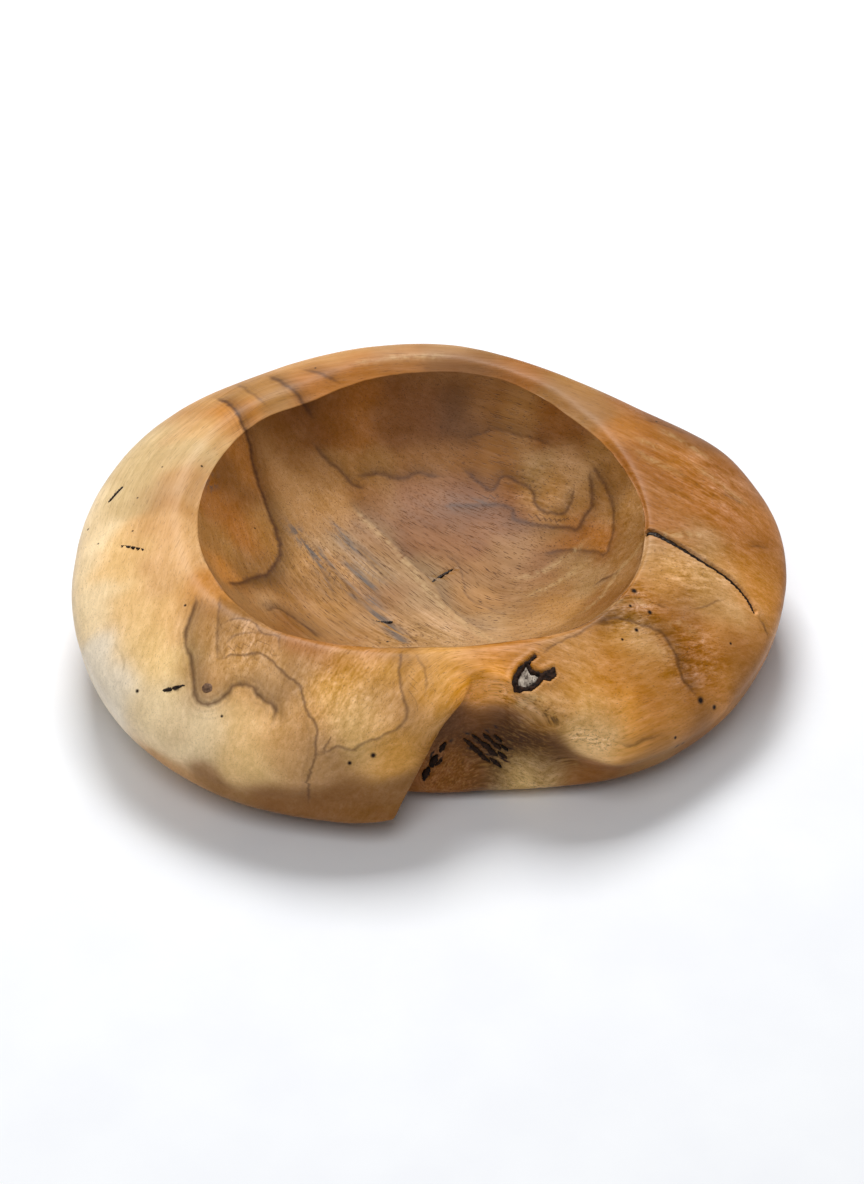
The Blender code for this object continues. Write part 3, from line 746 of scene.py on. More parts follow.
@dataclass(frozen=True)
class TeakFinish:
    """Hand-sanded teak root under a thin coat of wax: warm, satin, with fine dark pores along the grain."""

    roughness: float = 0.44
    satin_swing: float = 0.18
    pore_roughness: float = 0.2
    specular: float = 0.2
    pore_depth: float = 0.00012
    bump_strength: float = 0.6
    hue_swing: float = 0.010
    richness: float = 0.35
    # How growth lines are drawn, in millimetres: their wobble, soft edge, reach and echoes.
    wobble_reach: float = 1.3
    line_edge: float = 1.1
    line_reach: float = 4.0
    line_share: float = 0.85
    echo_reach: float = 9.0
    echo_rate: float = 2.1
    echo_share: float = 0.22
    speck_edge: float = 1.6
    line_colour: str = "4A2B18"
    echo_colour: str = "6B4020"
    fleck_colour: str = "1E1109"
    speck_colour: str = "24150C"
    # Bands are 6 to 20 mm wide, streaks 2 to 3 mm, fibres about 1 mm and pores about 0.4 mm.
    fibres: tuple[tuple[str, Fibre], ...] = (
        ("bands", Fibre(0.010, 0.085, 3.0, 0.6, 0.38, 1.19)),
        ("streaks", Fibre(0.020, 0.42, 4.0, 0.35, 0.45, 1.40)),
        ("fibres", Fibre(0.055, 1.15, 3.0, 0.2, 0.26, 1.00)),
        ("pores", Fibre(0.14, 3.2, 1.0, 0.0, 0.0, 0.0)),
    )
    # Even clouds, by their size in millimetres: blotches, curls and the wobble of the growth lines.
    clouds: tuple[tuple[str, float, Fibre], ...] = (
        ("blotch", 22.0, Fibre(1.0, 1.0, 4.0, 0.8, 0.34, 0.0)),
        ("curl", 5.5, Fibre(1.0, 1.0, 4.0, 1.8, 0.08, 0.80)),
        ("wobble", 4.5, Fibre(1.0, 1.0, 3.0, 0.0, 0.0, 0.0)),
    )
    # Weathered grey streaks, pale brushed streaks, torn hairs and the gaps between them, open pores.
    marks: tuple[Mark, ...] = (
        Mark("streaks", 8.0, -3.6, "grey", 0.85, "54504E"),
        Mark("curl", 3.0, -0.9, "pale", 0.30, "E2C48E"),
        Mark("fibres", 8.0, -4.16, "torn", 0.42, "C49752"),
        Mark("fibres", -8.0, 3.68, "torn", 0.55, "3A2810"),
        Mark("pores", 9.0, -5.4, "pore", 1.0, "4A2B18"),
    )

    def material(self, specks: list[tuple[float, float, float, float]]) -> bpy.types.Material:
        """Builds the teak from the tone, fibre and figure attributes of the body.

        Args:
            specks: Places and radii of the small dark specks, in metres.

        Returns:
            The material.
        """
        material, tree, shader = new_material("waxed_teak_root")
        add = partial(add_node, tree)
        stored = {
            name: add("ShaderNodeAttribute", attribute_name=name).outputs["Vector"]
            for name in ("tone", "fibre", "figure", "marks", "amounts")
        }
        figure = add("ShaderNodeSeparateXYZ", {0: stored["figure"]}).outputs
        marks = add("ShaderNodeSeparateXYZ", {0: stored["marks"]}).outputs
        amounts = add("ShaderNodeSeparateXYZ", {0: stored["amounts"]}).outputs
        body = dict(zip(("grey", "pale", "pore", "width", "strong", "torn"), (*marks, *amounts)))
        places = add("ShaderNodeTexCoord").outputs["Object"]
        noises = self.noises(add, stored["fibre"], places)
        colour = self.grained(add, stored["tone"], noises, body["strong"])
        colour = self.lined(add, colour, noises["wobble"], figure, body["width"])
        for mark in self.marks:
            level = {0: noises[mark.noise], 1: mark.gain, 2: mark.start}
            level = add("ShaderNodeMath", level, operation="MULTIPLY_ADD", use_clamp=True)
            laid = add("ShaderNodeMath", {0: level, 1: body[mark.amount]}, operation="MULTIPLY")
            share = add("ShaderNodeMath", {0: laid, 1: mark.most}, operation="MULTIPLY")
            tint = {"Factor": share, 6: colour, 7: linear(mark.colour)}
            colour = add("ShaderNodeMix", tint, data_type="RGBA")
        specked = self.specked(add, places, specks)
        tint = {"Factor": specked, 6: colour, 7: linear(self.speck_colour)}
        colour = add("ShaderNodeMix", tint, data_type="RGBA")
        tree.links.new(colour.outputs[2], shader.inputs["Base Color"])

        # The last mark laid is the open pores: they and the specks are hollow, and the fibres stand up.
        height = {0: noises["fibres"], 1: 0.5}
        height = {0: add("ShaderNodeMath", height, operation="MULTIPLY"), 1: laid}
        height = {0: add("ShaderNodeMath", height, operation="SUBTRACT"), 1: specked}
        height = add("ShaderNodeMath", height, operation="SUBTRACT")
        bump = {"Height": height, "Distance": self.pore_depth, "Strength": self.bump_strength}
        tree.links.new(add("ShaderNodeBump", bump).outputs[0], shader.inputs["Normal"])
        satin = {0: noises["streaks"], 1: self.satin_swing, 2: self.roughness - self.satin_swing / 2}
        satin = add("ShaderNodeMath", satin, operation="MULTIPLY_ADD")
        dull = add("ShaderNodeMath", {0: laid, 1: self.pore_roughness, 2: satin}, operation="MULTIPLY_ADD")
        tree.links.new(dull.outputs[0], shader.inputs["Roughness"])
        shader.inputs["Specular IOR Level"].default_value = self.specular
        return material

    def noises(
        self, add: Callable[..., bpy.types.Node], fibre: bpy.types.NodeSocket, places: bpy.types.NodeSocket
    ) -> dict[str, bpy.types.Node]:
        """Adds the grain's noises.

        Args:
            add: Adds a node to the material.
            fibre: The fibre coordinates.
            places: The object coordinates.

        Returns:
            The noises by name.
        """
        made = {}
        for name, part in self.fibres:
            stretch = {"Vector": fibre, "Scale": (part.along, part.across, part.across)}
            inputs = {"Vector": add("ShaderNodeMapping", stretch), "Scale": 1.0, "Detail": part.detail}
            inputs |= {"Roughness": 0.6, "Distortion": part.warp}
            made[name] = add("ShaderNodeTexNoise", inputs)
        for name, size, part in self.clouds:
            inputs = {"Vector": places, "Scale": 1 / (size * MM), "Detail": part.detail}
            inputs |= {"Distortion": part.warp}
            made[name] = add("ShaderNodeTexNoise", inputs)
        return made

    def grained(
        self,
        add: Callable[..., bpy.types.Node],
        tone: bpy.types.NodeSocket,
        noises: dict[str, bpy.types.Node],
        strong: bpy.types.NodeSocket,
    ) -> bpy.types.Node:
        """Multiplies the tone by the light and dark of the grain, most of all where the grain is strong.

        Args:
            add: Adds a node to the material.
            tone: The wood's tone.
            noises: The grain's noises.
            strong: How strongly the grain is marked.

        Returns:
            The node that gives the colour.
        """
        shade = 1.0
        for name, part in (*self.fibres, *((name, part) for name, _, part in self.clouds)):
            if part.plain + part.strong > 0:
                swing = {0: strong, 1: part.strong, 2: part.plain}
                swing = add("ShaderNodeMath", swing, operation="MULTIPLY_ADD")
                centred = add("ShaderNodeMath", {0: noises[name], 1: 0.5}, operation="SUBTRACT")
                factor = {0: centred, 1: swing, 2: 1.0}
                factor = add("ShaderNodeMath", factor, operation="MULTIPLY_ADD")
                shade = add("ShaderNodeMath", {0: shade, 1: factor}, operation="MULTIPLY")
        hue = {0: noises["blotch"], 1: self.hue_swing, 2: 0.5 - self.hue_swing / 2}
        richness = {0: shade, 1: -self.richness, 2: 1 + self.richness}
        grained = {
            "Hue": add("ShaderNodeMath", hue, operation="MULTIPLY_ADD"),
            "Saturation": add("ShaderNodeMath", richness, operation="MULTIPLY_ADD"),
            "Value": shade,
            "Color": tone,
        }
        return add("ShaderNodeHueSaturation", grained)

    def lined(
        self,
        add: Callable[..., bpy.types.Node],
        colour: bpy.types.Node,
        wobble: bpy.types.Node,
        figure: bpy.types.bpy_prop_collection,
        width: bpy.types.NodeSocket,
    ) -> bpy.types.Node:
        """Draws the growth lines: a thin dark core, faint echoes beside it, and the darkest flecks.

        Args:
            add: Adds a node to the material.
            colour: The grained tone.
            wobble: The noise that shifts the lines by up to about 1 mm.
            figure: Signed distance from the nearest line, plain distance, and its strength.
            width: The line's width.

        Returns:
            The node that gives the colour.
        """
        signed, distance, strength = figure
        offset = add("ShaderNodeMath", {0: signed, 1: self.wobble_reach}, operation="SUBTRACT")
        gap = {0: wobble, 1: 2 * self.wobble_reach, 2: offset}
        gap = add("ShaderNodeMath", gap, operation="MULTIPLY_ADD")
        gap = add("ShaderNodeMath", {0: gap}, operation="ABSOLUTE")
        broad = add("ShaderNodeMath", {0: width, 1: 0.05}, operation="MAXIMUM")
        widths = add("ShaderNodeMath", {0: gap, 1: broad}, operation="DIVIDE")
        core = {0: self.line_edge, 1: widths}
        core = add("ShaderNodeMath", core, operation="SUBTRACT", use_clamp=True)
        close = add("ShaderNodeMath", {0: distance, 1: self.line_reach}, operation="LESS_THAN")
        core = add("ShaderNodeMath", {0: core, 1: close}, operation="MULTIPLY")
        core = add("ShaderNodeMath", {0: core, 1: strength}, operation="MULTIPLY")
        fading = {0: distance, 1: -1 / self.echo_reach, 2: 1.0}
        fading = add("ShaderNodeMath", fading, operation="MULTIPLY_ADD", use_clamp=True)
        phase = add("ShaderNodeMath", {0: wobble, 1: 2.0, 2: distance}, operation="MULTIPLY_ADD")
        phase = add("ShaderNodeMath", {0: phase, 1: self.echo_rate}, operation="MULTIPLY")
        wave = add("ShaderNodeMath", {0: phase}, operation="SINE")
        echo = add("ShaderNodeMath", {0: wave, 1: 0.0}, operation="MAXIMUM")
        echo = add("ShaderNodeMath", {0: echo, 1: fading}, operation="MULTIPLY")
        echo = add("ShaderNodeMath", {0: echo, 1: strength}, operation="MULTIPLY")
        layers = (
            (echo, self.echo_share, 0.0, self.echo_colour),
            (core, self.line_share, 0.0, self.line_colour),
            (core, 1.0, -1.0, self.fleck_colour),
        )
        for drawn, most, start, dark in layers:
            share = {0: drawn, 1: most, 2: start}
            share = add("ShaderNodeMath", share, operation="MULTIPLY_ADD", use_clamp=True)
            colour = add("ShaderNodeMix", {"Factor": share, 6: colour, 7: linear(dark)}, data_type="RGBA")
        return colour

    def specked(
        self,
        add: Callable[..., bpy.types.Node],
        places: bpy.types.NodeSocket,
        specks: list[tuple[float, float, float, float]],
    ) -> bpy.types.Node:
        """Adds the worm holes and small specks.

        Args:
            add: Adds a node to the material.
            places: The object coordinates.
            specks: Places and radii, in metres.

        Returns:
            The node that gives 1 in a speck and 0 outside.
        """
        specked = 0.0
        for x, y, z, radius in specks:
            away = add("ShaderNodeVectorMath", {0: places, 1: (x, y, z)}, operation="DISTANCE")
            spot = {0: away.outputs["Value"], 1: -1 / radius, 2: self.speck_edge}
            spot = add("ShaderNodeMath", spot, operation="MULTIPLY_ADD", use_clamp=True)
            specked = add("ShaderNodeMath", {0: specked, 1: spot}, operation="MAXIMUM")
        return specked


@dataclass(frozen=True)
class RoughFinish:
    """A matte natural or filled surface with its own two colours and its own coarseness."""

    name: str
    dark: str
    light: str
    roughness: float
    grain_size: float
    stretch: tuple[float, float, float] = (1.0, 1.0, 1.0)
    relief: float = 0.0003
    turn: float = 0.0
    detail: float = 6.0
    spread: tuple[float, float] = (0.36, 0.66)
    bump_strength: float = 0.8
    specular: float = 0.2

    def material(self) -> bpy.types.Material:
        """Builds the finish from two sizes of noise.

        Returns:
            The material.
        """
        material, tree, shader = new_material(self.name)
        places = add_node(tree, "ShaderNodeTexCoord").outputs["Object"]
        turned = add_node(
            tree, "ShaderNodeMapping",
            {"Vector": places, "Rotation": (0.0, 0.0, math.radians(self.turn)), "Scale": self.stretch},
        ).outputs[0]
        scale = 1 / (self.grain_size * MM)
        coarse = add_node(
            tree, "ShaderNodeTexNoise", {"Vector": turned, "Scale": scale, "Detail": self.detail}
        ).outputs["Fac"]
        low, high = self.spread
        sharp = add_node(tree, "ShaderNodeMapRange", {"Value": coarse, "From Min": low, "From Max": high})
        colours = {"Factor": sharp, 6: linear(self.dark), 7: linear(self.light)}
        mixed = add_node(tree, "ShaderNodeMix", colours, data_type="RGBA")
        tree.links.new(mixed.outputs[2], shader.inputs["Base Color"])
        bump = {"Height": coarse, "Distance": self.relief, "Strength": self.bump_strength}
        tree.links.new(add_node(tree, "ShaderNodeBump", bump).outputs[0], shader.inputs["Normal"])
        shader.inputs["Roughness"].default_value = self.roughness
        shader.inputs["Specular IOR Level"].default_value = self.specular
        return material


# Dark resin rubbed into an open check: nearly black, a little glossy.
RESIN = RoughFinish("dark_resin", "150D08", "2C1C12", 0.45, 1.2)
# Ingrown teak bark: almost black, crumbly and dry.
BARK = RoughFinish("ingrown_bark", "120B08", "3A2418", 0.85, 1.4, relief=0.0005)
# Dead knot wood: bleached grey, dry and fibrous.
DEAD_WOOD = RoughFinish("dead_knot_wood", "4C3E34", "CDBFAE", 0.8, 1.5, (1.0, 0.3, 1.0), 0.0004, 30.0)
# Wood of a pin knot: dark, hard and polished with the rest.
PIN_WOOD = RoughFinish("pin_knot_wood", "4A3426", "8C6B52", 0.5, 1.5)
# Matte studio paper.
PAPER = RoughFinish("studio_paper", "F1F3F7", "F4F6F9", 0.9, 40.0, relief=0.00002)


def object_from(bm: bmesh.types.BMesh, name: str, material: bpy.types.Material) -> bpy.types.Object:
    """Makes a smooth-shaded object at the origin from a mesh.

    Args:
        bm: The mesh, which is freed.
        name: The object's name.
        material: Its finish.

    Returns:
        The object.
    """
    mesh = bpy.data.meshes.new(name)
    bm.to_mesh(mesh)
    bm.free()
    mesh.shade_smooth()
    mesh.materials.append(material)
    piece = bpy.data.objects.new(name, mesh)
    bpy.context.scene.collection.objects.link(piece)
    return piece


def dress(piece: bpy.types.Object, node: str) -> None:
    """Says which body a piece rides on and which CAD node it stands for.

    Args:
        piece: The finished piece.
        node: The CAD node that it replaces.
    """
    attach(piece, BODY)
    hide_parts(node)
    LOG.info("%s: %d faces, stands for %s", piece.name, len(piece.data.polygons), node)


def gather_scale(down_weight: np.ndarray, round_weight: np.ndarray) -> np.ndarray:
    """The sum of the weights of the edges that meet at each crossing of a ring and a spoke."""
    total = round_weight + np.roll(round_weight, 1, axis=1)
    total[1:] += down_weight
    total[:-1] += down_weight
    return total


class WoodBody:
    """The carved body of the bowl, with its fine relief, tones, grain and figure."""

    SPOKES = 420
    HOLLOW_RINGS = 70
    BAND_RINGS = 16
    FOOT_RINGS = 10
    LIP_BLEND = (0.97, 1.01)
    TONE_DRIFT = 5.0
    HALO = 1.5
    FAINT_SIDE = 0.25
    # Painted shade on the fold's wall under the ridge: how much red, green and blue darken, and the heights
    # over which it comes in.
    FOLD_PAINTED_SHADE = (0.30, 0.42, 0.75)
    UNDER_RIDGE_SHADE_HEIGHTS = (16.0, 34.0)
    # Sizes of the drift of the tones, and how much tones and grain zones count far away.
    DRIFT_SIZE = 13.0
    FAR_TONE = 0.02
    FAR_GRAIN = 0.01
    GRAIN_SOFTNESS = 0.02
    # The solver of the fibre coordinates.
    LEAST_STEP = 1e-2
    WEIGHT_LIMITS = (0.05, 20.0)
    PULL = 1e-6
    COARSE_COUNT = 12000
    COARSE_STEP = 3
    FINE_TURNS = 160
    FIRST_TURNS = 900
    CLOSE_ENOUGH = 1e-7
    # Growth lines: how closely they are looked up and filled in, how long they taper, how far out
    # they are measured, and how far the side of a crossing is told.
    LOOK_STEP = 3.0
    LINE_STEP = 0.6
    TAPER = 6.0
    MEASURE_LIMIT = 40.0
    # Waviness of the sanded wood: size and height of the slow and quick waves, and of the gouge strokes.
    SLOW_WAVE = (24.0, 0.30)
    QUICK_WAVE = (9.0, 0.10)
    STROKE = (30.0, 3.4, 0.05)
    # Depth and spare width of each groove.
    CRACK_GROOVE = (3.2, 0.15)
    CHECK_GROOVE = (1.2, 0.1)
    BARK_GROOVE = (0.7, 0.1)
    # Height, place and breadth of the raised wood beside the crack and round the knot.
    CRACK_BURR = (0.4, 1.0, 1.3)
    KNOT_BURR = (0.45, 1.3, 1.2)
    KNOT_POCKET = 2.6
    PIN_POCKET = 0.9
    # The wall of the fold: its span in x, its front in y, its top and bottom in z.
    FOLD_WEST = (-4.0, 4.0)
    FOLD_EAST = (62.0, 46.0)
    FOLD_FRONT = (-102.0, -108.0)
    FOLD_TOP = (50.0, 42.0)
    FOLD_BOTTOM = (4.0, 8.0)
    ARCH = (22.0, 2.0, 1.3)
    ARCH_WAVE = (2.1, 26.0, 0.26)
    ARCH_RISE = (26.0, 0.012)
    GREY_REACH = 3.2
    PALE_REACH = 1.9
    RIDGE_REACH = 3.6
    HOLLOW_REACH = 8.5
    RIM_REACH = 9.5
    LAYERS = ("t", "s", "hollow_along", "hollow_across", "outside_along", "outside_across")

    def __init__(self) -> None:
        """Makes the form and the search tree of its surface."""
        self.form = RootForm()
        low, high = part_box("bowl_body")
        self.low, self.high = np.array(low) / MM, np.array(high) / MM
        self.bm = self.blank()
        self.wood = Wood(self.bm)

    def ring_places(self) -> np.ndarray:
        """The place of each ring down a spoke, from the hollow's middle to the foot's."""
        hollow = np.arange(0, self.HOLLOW_RINGS + 1) / self.HOLLOW_RINGS
        bands = round(self.form.FOOT_T - self.form.LIP_T)
        outer = self.form.LIP_T + np.arange(1, bands * self.BAND_RINGS + 1) / self.BAND_RINGS
        foot = self.form.FOOT_T + np.arange(1, self.FOOT_RINGS + 1) / self.FOOT_RINGS
        return np.concatenate([hollow, outer, foot])

    def blank(self) -> bmesh.types.BMesh:
        """Turns a round blank into the carved form, finer where small features need it.

        Returns:
            The smooth carved mesh, with its place on the form and its fibres in vertex layers.
        """
        rings = self.ring_places()
        spokes = self.form.crowded_spokes(self.SPOKES)
        bm = bmesh.new()
        bmesh.ops.create_uvsphere(bm, u_segments=self.SPOKES, v_segments=len(rings) - 1, radius=1.0)
        co = np.array([v.co for v in bm.verts])
        ring = np.rint(np.arccos(np.clip(co[:, 2], -1, 1)) / math.pi * (len(rings) - 1)).astype(int)
        turns = np.arctan2(co[:, 1], co[:, 0]) / (2 * math.pi)
        spoke = np.rint(turns * self.SPOKES).astype(int) % self.SPOKES
        t, s = rings[ring], spokes[spoke]
        columns = [t, s]
        lip = self.HOLLOW_RINGS
        for first, last, zones in ((0, lip, HOLLOW_GRAIN), (lip, len(rings) - 1, OUTSIDE_GRAIN)):
            inside = (ring >= first) & (ring <= last)
            for part in self.fibres(rings[first : last + 1], spokes, zones):
                columns.append(np.where(inside, part[np.clip(ring - first, 0, last - first), spoke], 0.0))
        layers = [bm.verts.layers.float.new(name) for name in self.LAYERS]
        for layer, column in zip(layers, columns):
            for vert, amount in zip(bm.verts, column.tolist()):
                vert[layer] = amount
        self.place(bm, self.form.points(t, s))
        self.refine(bm)
        t = np.array([v[layers[0]] for v in bm.verts])
        s = np.array([v[layers[1]] for v in bm.verts])
        self.place(bm, self.form.points(t, s))
        bmesh.ops.triangulate(bm, faces=[f for f in bm.faces if len(f.verts) > 4])
        bmesh.ops.recalc_face_normals(bm, faces=bm.faces)
        bm.normal_update()
        return bm

    def place(self, bm: bmesh.types.BMesh, points: np.ndarray) -> None:
        """Puts the vertices at these points, fitted to the CAD body's own box."""
        low, high = points.min(0), points.max(0)
        fitted = self.low + (points - low) / (high - low) * (self.high - self.low)
        for vert, point in zip(bm.verts, (fitted * MM).tolist()):
            vert.co = point

    def refine(self, bm: bmesh.types.BMesh) -> None:
        """Divides the mesh more finely where the crack, the knot and the fold's fibres are.

        Args:
            bm: The body's mesh.
        """
        co = np.array([v.co for v in bm.verts]) / MM
        crack = along_line(np.array(CRACK.points), 1.0)
        near_crack = np.min(np.linalg.norm(co[:, None, :2] - crack[None, ::4], axis=2), axis=1) < 6.5
        knot = np.abs(polygon_distance(np.array(KNOT_BARK_OUTLINE), co[:, :2])) < 5.0
        knot |= polygon_distance(np.array(KNOT_BARK_OUTLINE), co[:, :2]) < 0
        upper = (co[:, 2] > 32) & (near_crack | knot)
        fold = (co[:, 0] > -8) & (co[:, 0] < 58) & (co[:, 1] < -96) & (co[:, 2] > 6) & ~upper
        for chosen, cuts in ((upper, 2), (fold, 1)):
            verts = [v for v, wanted in zip(bm.verts, chosen) if wanted]
            keep = set(verts)
            edges = list({e for v in verts for e in v.link_edges if e.other_vert(v) in keep})
            edges.sort(key=lambda e: (e.verts[0].index, e.verts[1].index))
            bmesh.ops.subdivide_edges(bm, edges=edges, cuts=cuts, use_grid_fill=True)
        LOG.info("refined to %d vertices", len(bm.verts))

    def fibres(self, rings: np.ndarray, spokes: np.ndarray, zones: tuple) -> tuple[np.ndarray, np.ndarray]:
        """Coordinates along and across the fibres, which follow the grain over part of the surface.

        Args:
            rings: The place of each ring of that part.
            spokes: The angle of each spoke.
            zones: The grain zones of that part.

        Returns:
            The two coordinates of each crossing of a ring and a spoke, in millimetres.
        """
        t, s = (grid.ravel() for grid in np.meshgrid(rings, spokes, indexing="ij"))
        shape = (len(rings), len(spokes), 3)
        points = self.form.points(t, s).reshape(shape)
        run, total = np.zeros(shape), np.full(shape[:2], 1e-9)
        for zone in zones:
            square = (points[..., 0] - zone.x) ** 2 + (points[..., 1] - zone.y) ** 2
            near = np.exp(-square / zone.reach**2) + self.FAR_GRAIN / (1 + square / zone.reach**2)
            angle = math.radians(zone.angle)
            run += near[..., None] * np.array([math.cos(angle), math.sin(angle), 0.0])
            total += near
        run /= np.linalg.norm(run, axis=2, keepdims=True) + self.GRAIN_SOFTNESS * total[..., None]
        side = np.stack([-run[..., 1], run[..., 0], run[..., 2]], axis=-1)
        return self.integrate(points, run), self.integrate(points, side)

    @classmethod
    def integrate(cls, points: np.ndarray, slope: np.ndarray) -> np.ndarray:
        """The field over the surface whose slope is nearest to the one wanted.

        Args:
            points: Surface points, by ring and spoke.
            slope: The slope wanted at each.

        Returns:
            The field's value at each point, by conjugate gradients from a coarser answer.
        """
        down_step = np.diff(points, axis=0)
        round_step = np.roll(points, -1, axis=1) - points
        down_length = np.linalg.norm(down_step, axis=2) + cls.LEAST_STEP
        round_length = np.linalg.norm(round_step, axis=2) + cls.LEAST_STEP
        between = (down_length[1:] + down_length[:-1]) / 2
        ring_height = np.concatenate([down_length[:1], between, down_length[-1:]])
        breadth = (round_length[1:] + round_length[:-1]) / 2
        down_weight = np.clip(breadth / down_length, *cls.WEIGHT_LIMITS)
        round_weight = np.clip(ring_height / round_length, *cls.WEIGHT_LIMITS)

        def gather(down_part: np.ndarray, round_part: np.ndarray) -> np.ndarray:
            """Sums weighted edge values into their ends."""
            down_part, round_part = down_part * down_weight, round_part * round_weight
            total = np.roll(round_part, 1, axis=1) - round_part
            total[1:] += down_part
            total[:-1] -= down_part
            return total

        def push(field: np.ndarray) -> np.ndarray:
            """The normal equations' left side, held in place by a very weak pull."""
            return gather(np.diff(field, axis=0), np.roll(field, -1, axis=1) - field) + cls.PULL * field

        down_want = (down_step * (slope[1:] + slope[:-1]) / 2).sum(2)
        round_want = (round_step * (slope + np.roll(slope, -1, axis=1)) / 2).sum(2)
        rings, spokes = points.shape[:2]
        if rings * spokes > cls.COARSE_COUNT:
            step = cls.COARSE_STEP
            coarse = cls.integrate(points[::step, ::step], slope[::step, ::step])
            kept = np.arange(0, rings, step)
            lines = [np.interp(np.arange(rings), kept, column) for column in coarse.T]
            lines = np.array([*lines, lines[0]])
            places = np.append(np.arange(0, spokes, step), spokes)
            field = np.array([np.interp(np.arange(spokes), places, row) for row in lines.T])
            turns = cls.FINE_TURNS
        else:
            field = points @ slope.reshape(-1, 3).mean(0)
            turns = cls.FIRST_TURNS
        scale = 1 / (gather_scale(down_weight, round_weight) + cls.PULL)
        residual = gather(down_want, round_want) - push(field)
        eased = residual * scale
        step, energy = eased.copy(), float((residual * eased).sum())
        for _ in range(turns):
            pushed = push(step)
            size = energy / float((step * pushed).sum())
            field = field + size * step
            residual = residual - size * pushed
            eased = residual * scale
            fresh = float((residual * eased).sum())
            if fresh < cls.CLOSE_ENOUGH:
                break
            step, energy = eased + step * (fresh / energy), fresh
        return field

    def tones(self, co: np.ndarray, t: np.ndarray) -> np.ndarray:
        """Mixes the patches of tone over the surface, with uneven edges.

        Args:
            co: Vertex places, in millimetres.
            t: Each vertex's place on the form.

        Returns:
            Linear red, green and blue of each vertex.
        """
        drift = np.array([noise.noise_vector(place) for place in (co / self.DRIFT_SIZE).tolist()])
        places = co + drift * self.TONE_DRIFT
        above, front = (lambda x, y: self.wood.above(x, y)[0]), (lambda x, z: self.wood.front(x, z)[0])
        tables = ((above, RIM_TONES), (front, FOLD_TONES), (lambda *point: Vector(point), SIDE_TONES_AND_FRONT_SHADE))
        outer = [(find(*point), tone) for find, table in tables for tone in table for point in table[tone]]
        inner = [(above(*point), tone) for tone, points in HOLLOW_TONES.items() for point in points]
        mixed = []
        for patches, reach in ((inner, self.HOLLOW_REACH), (outer, self.RIM_REACH)):
            total, colour = np.zeros(len(co)), np.zeros((len(co), 3))
            for centre, tone in patches:
                square = ((places - np.array(centre)) ** 2).sum(1) / reach**2
                near = np.exp(-square) + self.FAR_TONE / (1 + square) ** 1.5
                total += near
                colour += near[:, None] * np.array(linear(tone.value)[:3])
            mixed.append(colour / total[:, None])
        outside = smooth_step(*self.LIP_BLEND, t)[:, None]
        return mixed[0] * (1 - outside) + mixed[1] * outside

    def figure(self, co: np.ndarray) -> tuple[np.ndarray, np.ndarray, np.ndarray]:
        """Measures each vertex from the nearest growth line.

        Args:
            co: Vertex places, in millimetres.

        Returns:
            Rows of (signed distance, distance, strength), each line's width there, and the shade
            that the lines throw over the tone beside them.
        """
        spots, tangents, sides, widths, strengths = [], [], [], [], []
        shade = np.zeros(len(co))
        flecks = [FigureLine(points, 0.7, 2.0, 1.5, 0.2) for points in FOLD_FLECKS]
        for line in (*FIGURE, *flecks):
            flat = along_line(np.array(line.points, float), self.LOOK_STEP)
            places, normals = self.wood.trace(flat, line in flecks)
            fine = along_line(places, self.LINE_STEP)
            run = np.gradient(fine, axis=0)
            run /= np.linalg.norm(run, axis=1, keepdims=True)
            share = np.linspace(0, len(places) - 1, len(fine))
            up = np.stack([np.interp(share, np.arange(len(places)), normals[:, k]) for k in range(3)], 1)
            side = np.cross(up, run)
            side /= np.linalg.norm(side, axis=1, keepdims=True)
            ends = np.minimum(np.arange(len(fine)), np.arange(len(fine))[::-1]) * self.LINE_STEP
            taper = np.clip(ends / min(self.TAPER, 0.5 * ends.max() + self.LINE_STEP), 0.15, 1.0)
            spots.append(fine)
            tangents.append(run)
            sides.append(side)
            widths.append(np.full(len(fine), line.width) * (0.5 + 0.5 * taper))
            strengths.append(line.strength * taper)
            gap, across, ending = self.beside(co, fine, side, taper, line.halo * 3)
            fade = np.exp(-((gap / line.halo) ** 2)) * ending
            shaded_side = across > 0 if line.shade > 0 else across < 0
            one_side = np.where(shaded_side, 1.0, self.FAINT_SIDE)
            shade = np.maximum(shade, self.HALO * abs(line.shade) * fade * one_side)
        spots, tangents, sides = np.concatenate(spots), np.concatenate(tangents), np.concatenate(sides)
        widths, strengths = np.concatenate(widths), np.concatenate(strengths)
        tree = KDTree(len(spots))
        for index, spot in enumerate(spots.tolist()):
            tree.insert(spot, index)
        tree.balance()
        nearest = np.array([tree.find(place)[1] for place in co.tolist()])
        reach = co - spots[nearest]
        across = (reach * sides[nearest]).sum(1)
        distance = np.linalg.norm(reach, axis=1)
        signed = np.where(np.abs(across) > 0.75 * distance, across, np.copysign(distance, across))
        far = self.MEASURE_LIMIT
        rows = np.stack([np.clip(signed, -far, far), np.clip(distance, 0, far), strengths[nearest]], 1)
        return rows, widths[nearest], shade

    def streaked(self, co: np.ndarray, streaks: tuple, reach: float) -> np.ndarray:
        """How near each vertex is to the middle of a bundle of streaks.

        Args:
            co: Vertex places.
            streaks: Lines through plan points.
            reach: Half the width of a bundle.

        Returns:
            1 in the middle of a bundle, falling to 0 beside it.
        """
        amount = np.zeros(len(co))
        for streak in streaks:
            places, normals = self.wood.trace(along_line(np.array(streak, float), 2.0))
            ends = np.minimum(np.arange(len(places)), np.arange(len(places))[::-1])
            taper = np.clip(0.3 + ends / 3, 0, 1)
            gap, _, ending = self.beside(co, places, normals, taper, reach * 3)
            amount = np.maximum(amount, ending * np.exp(-((gap / reach) ** 2)))
        return amount

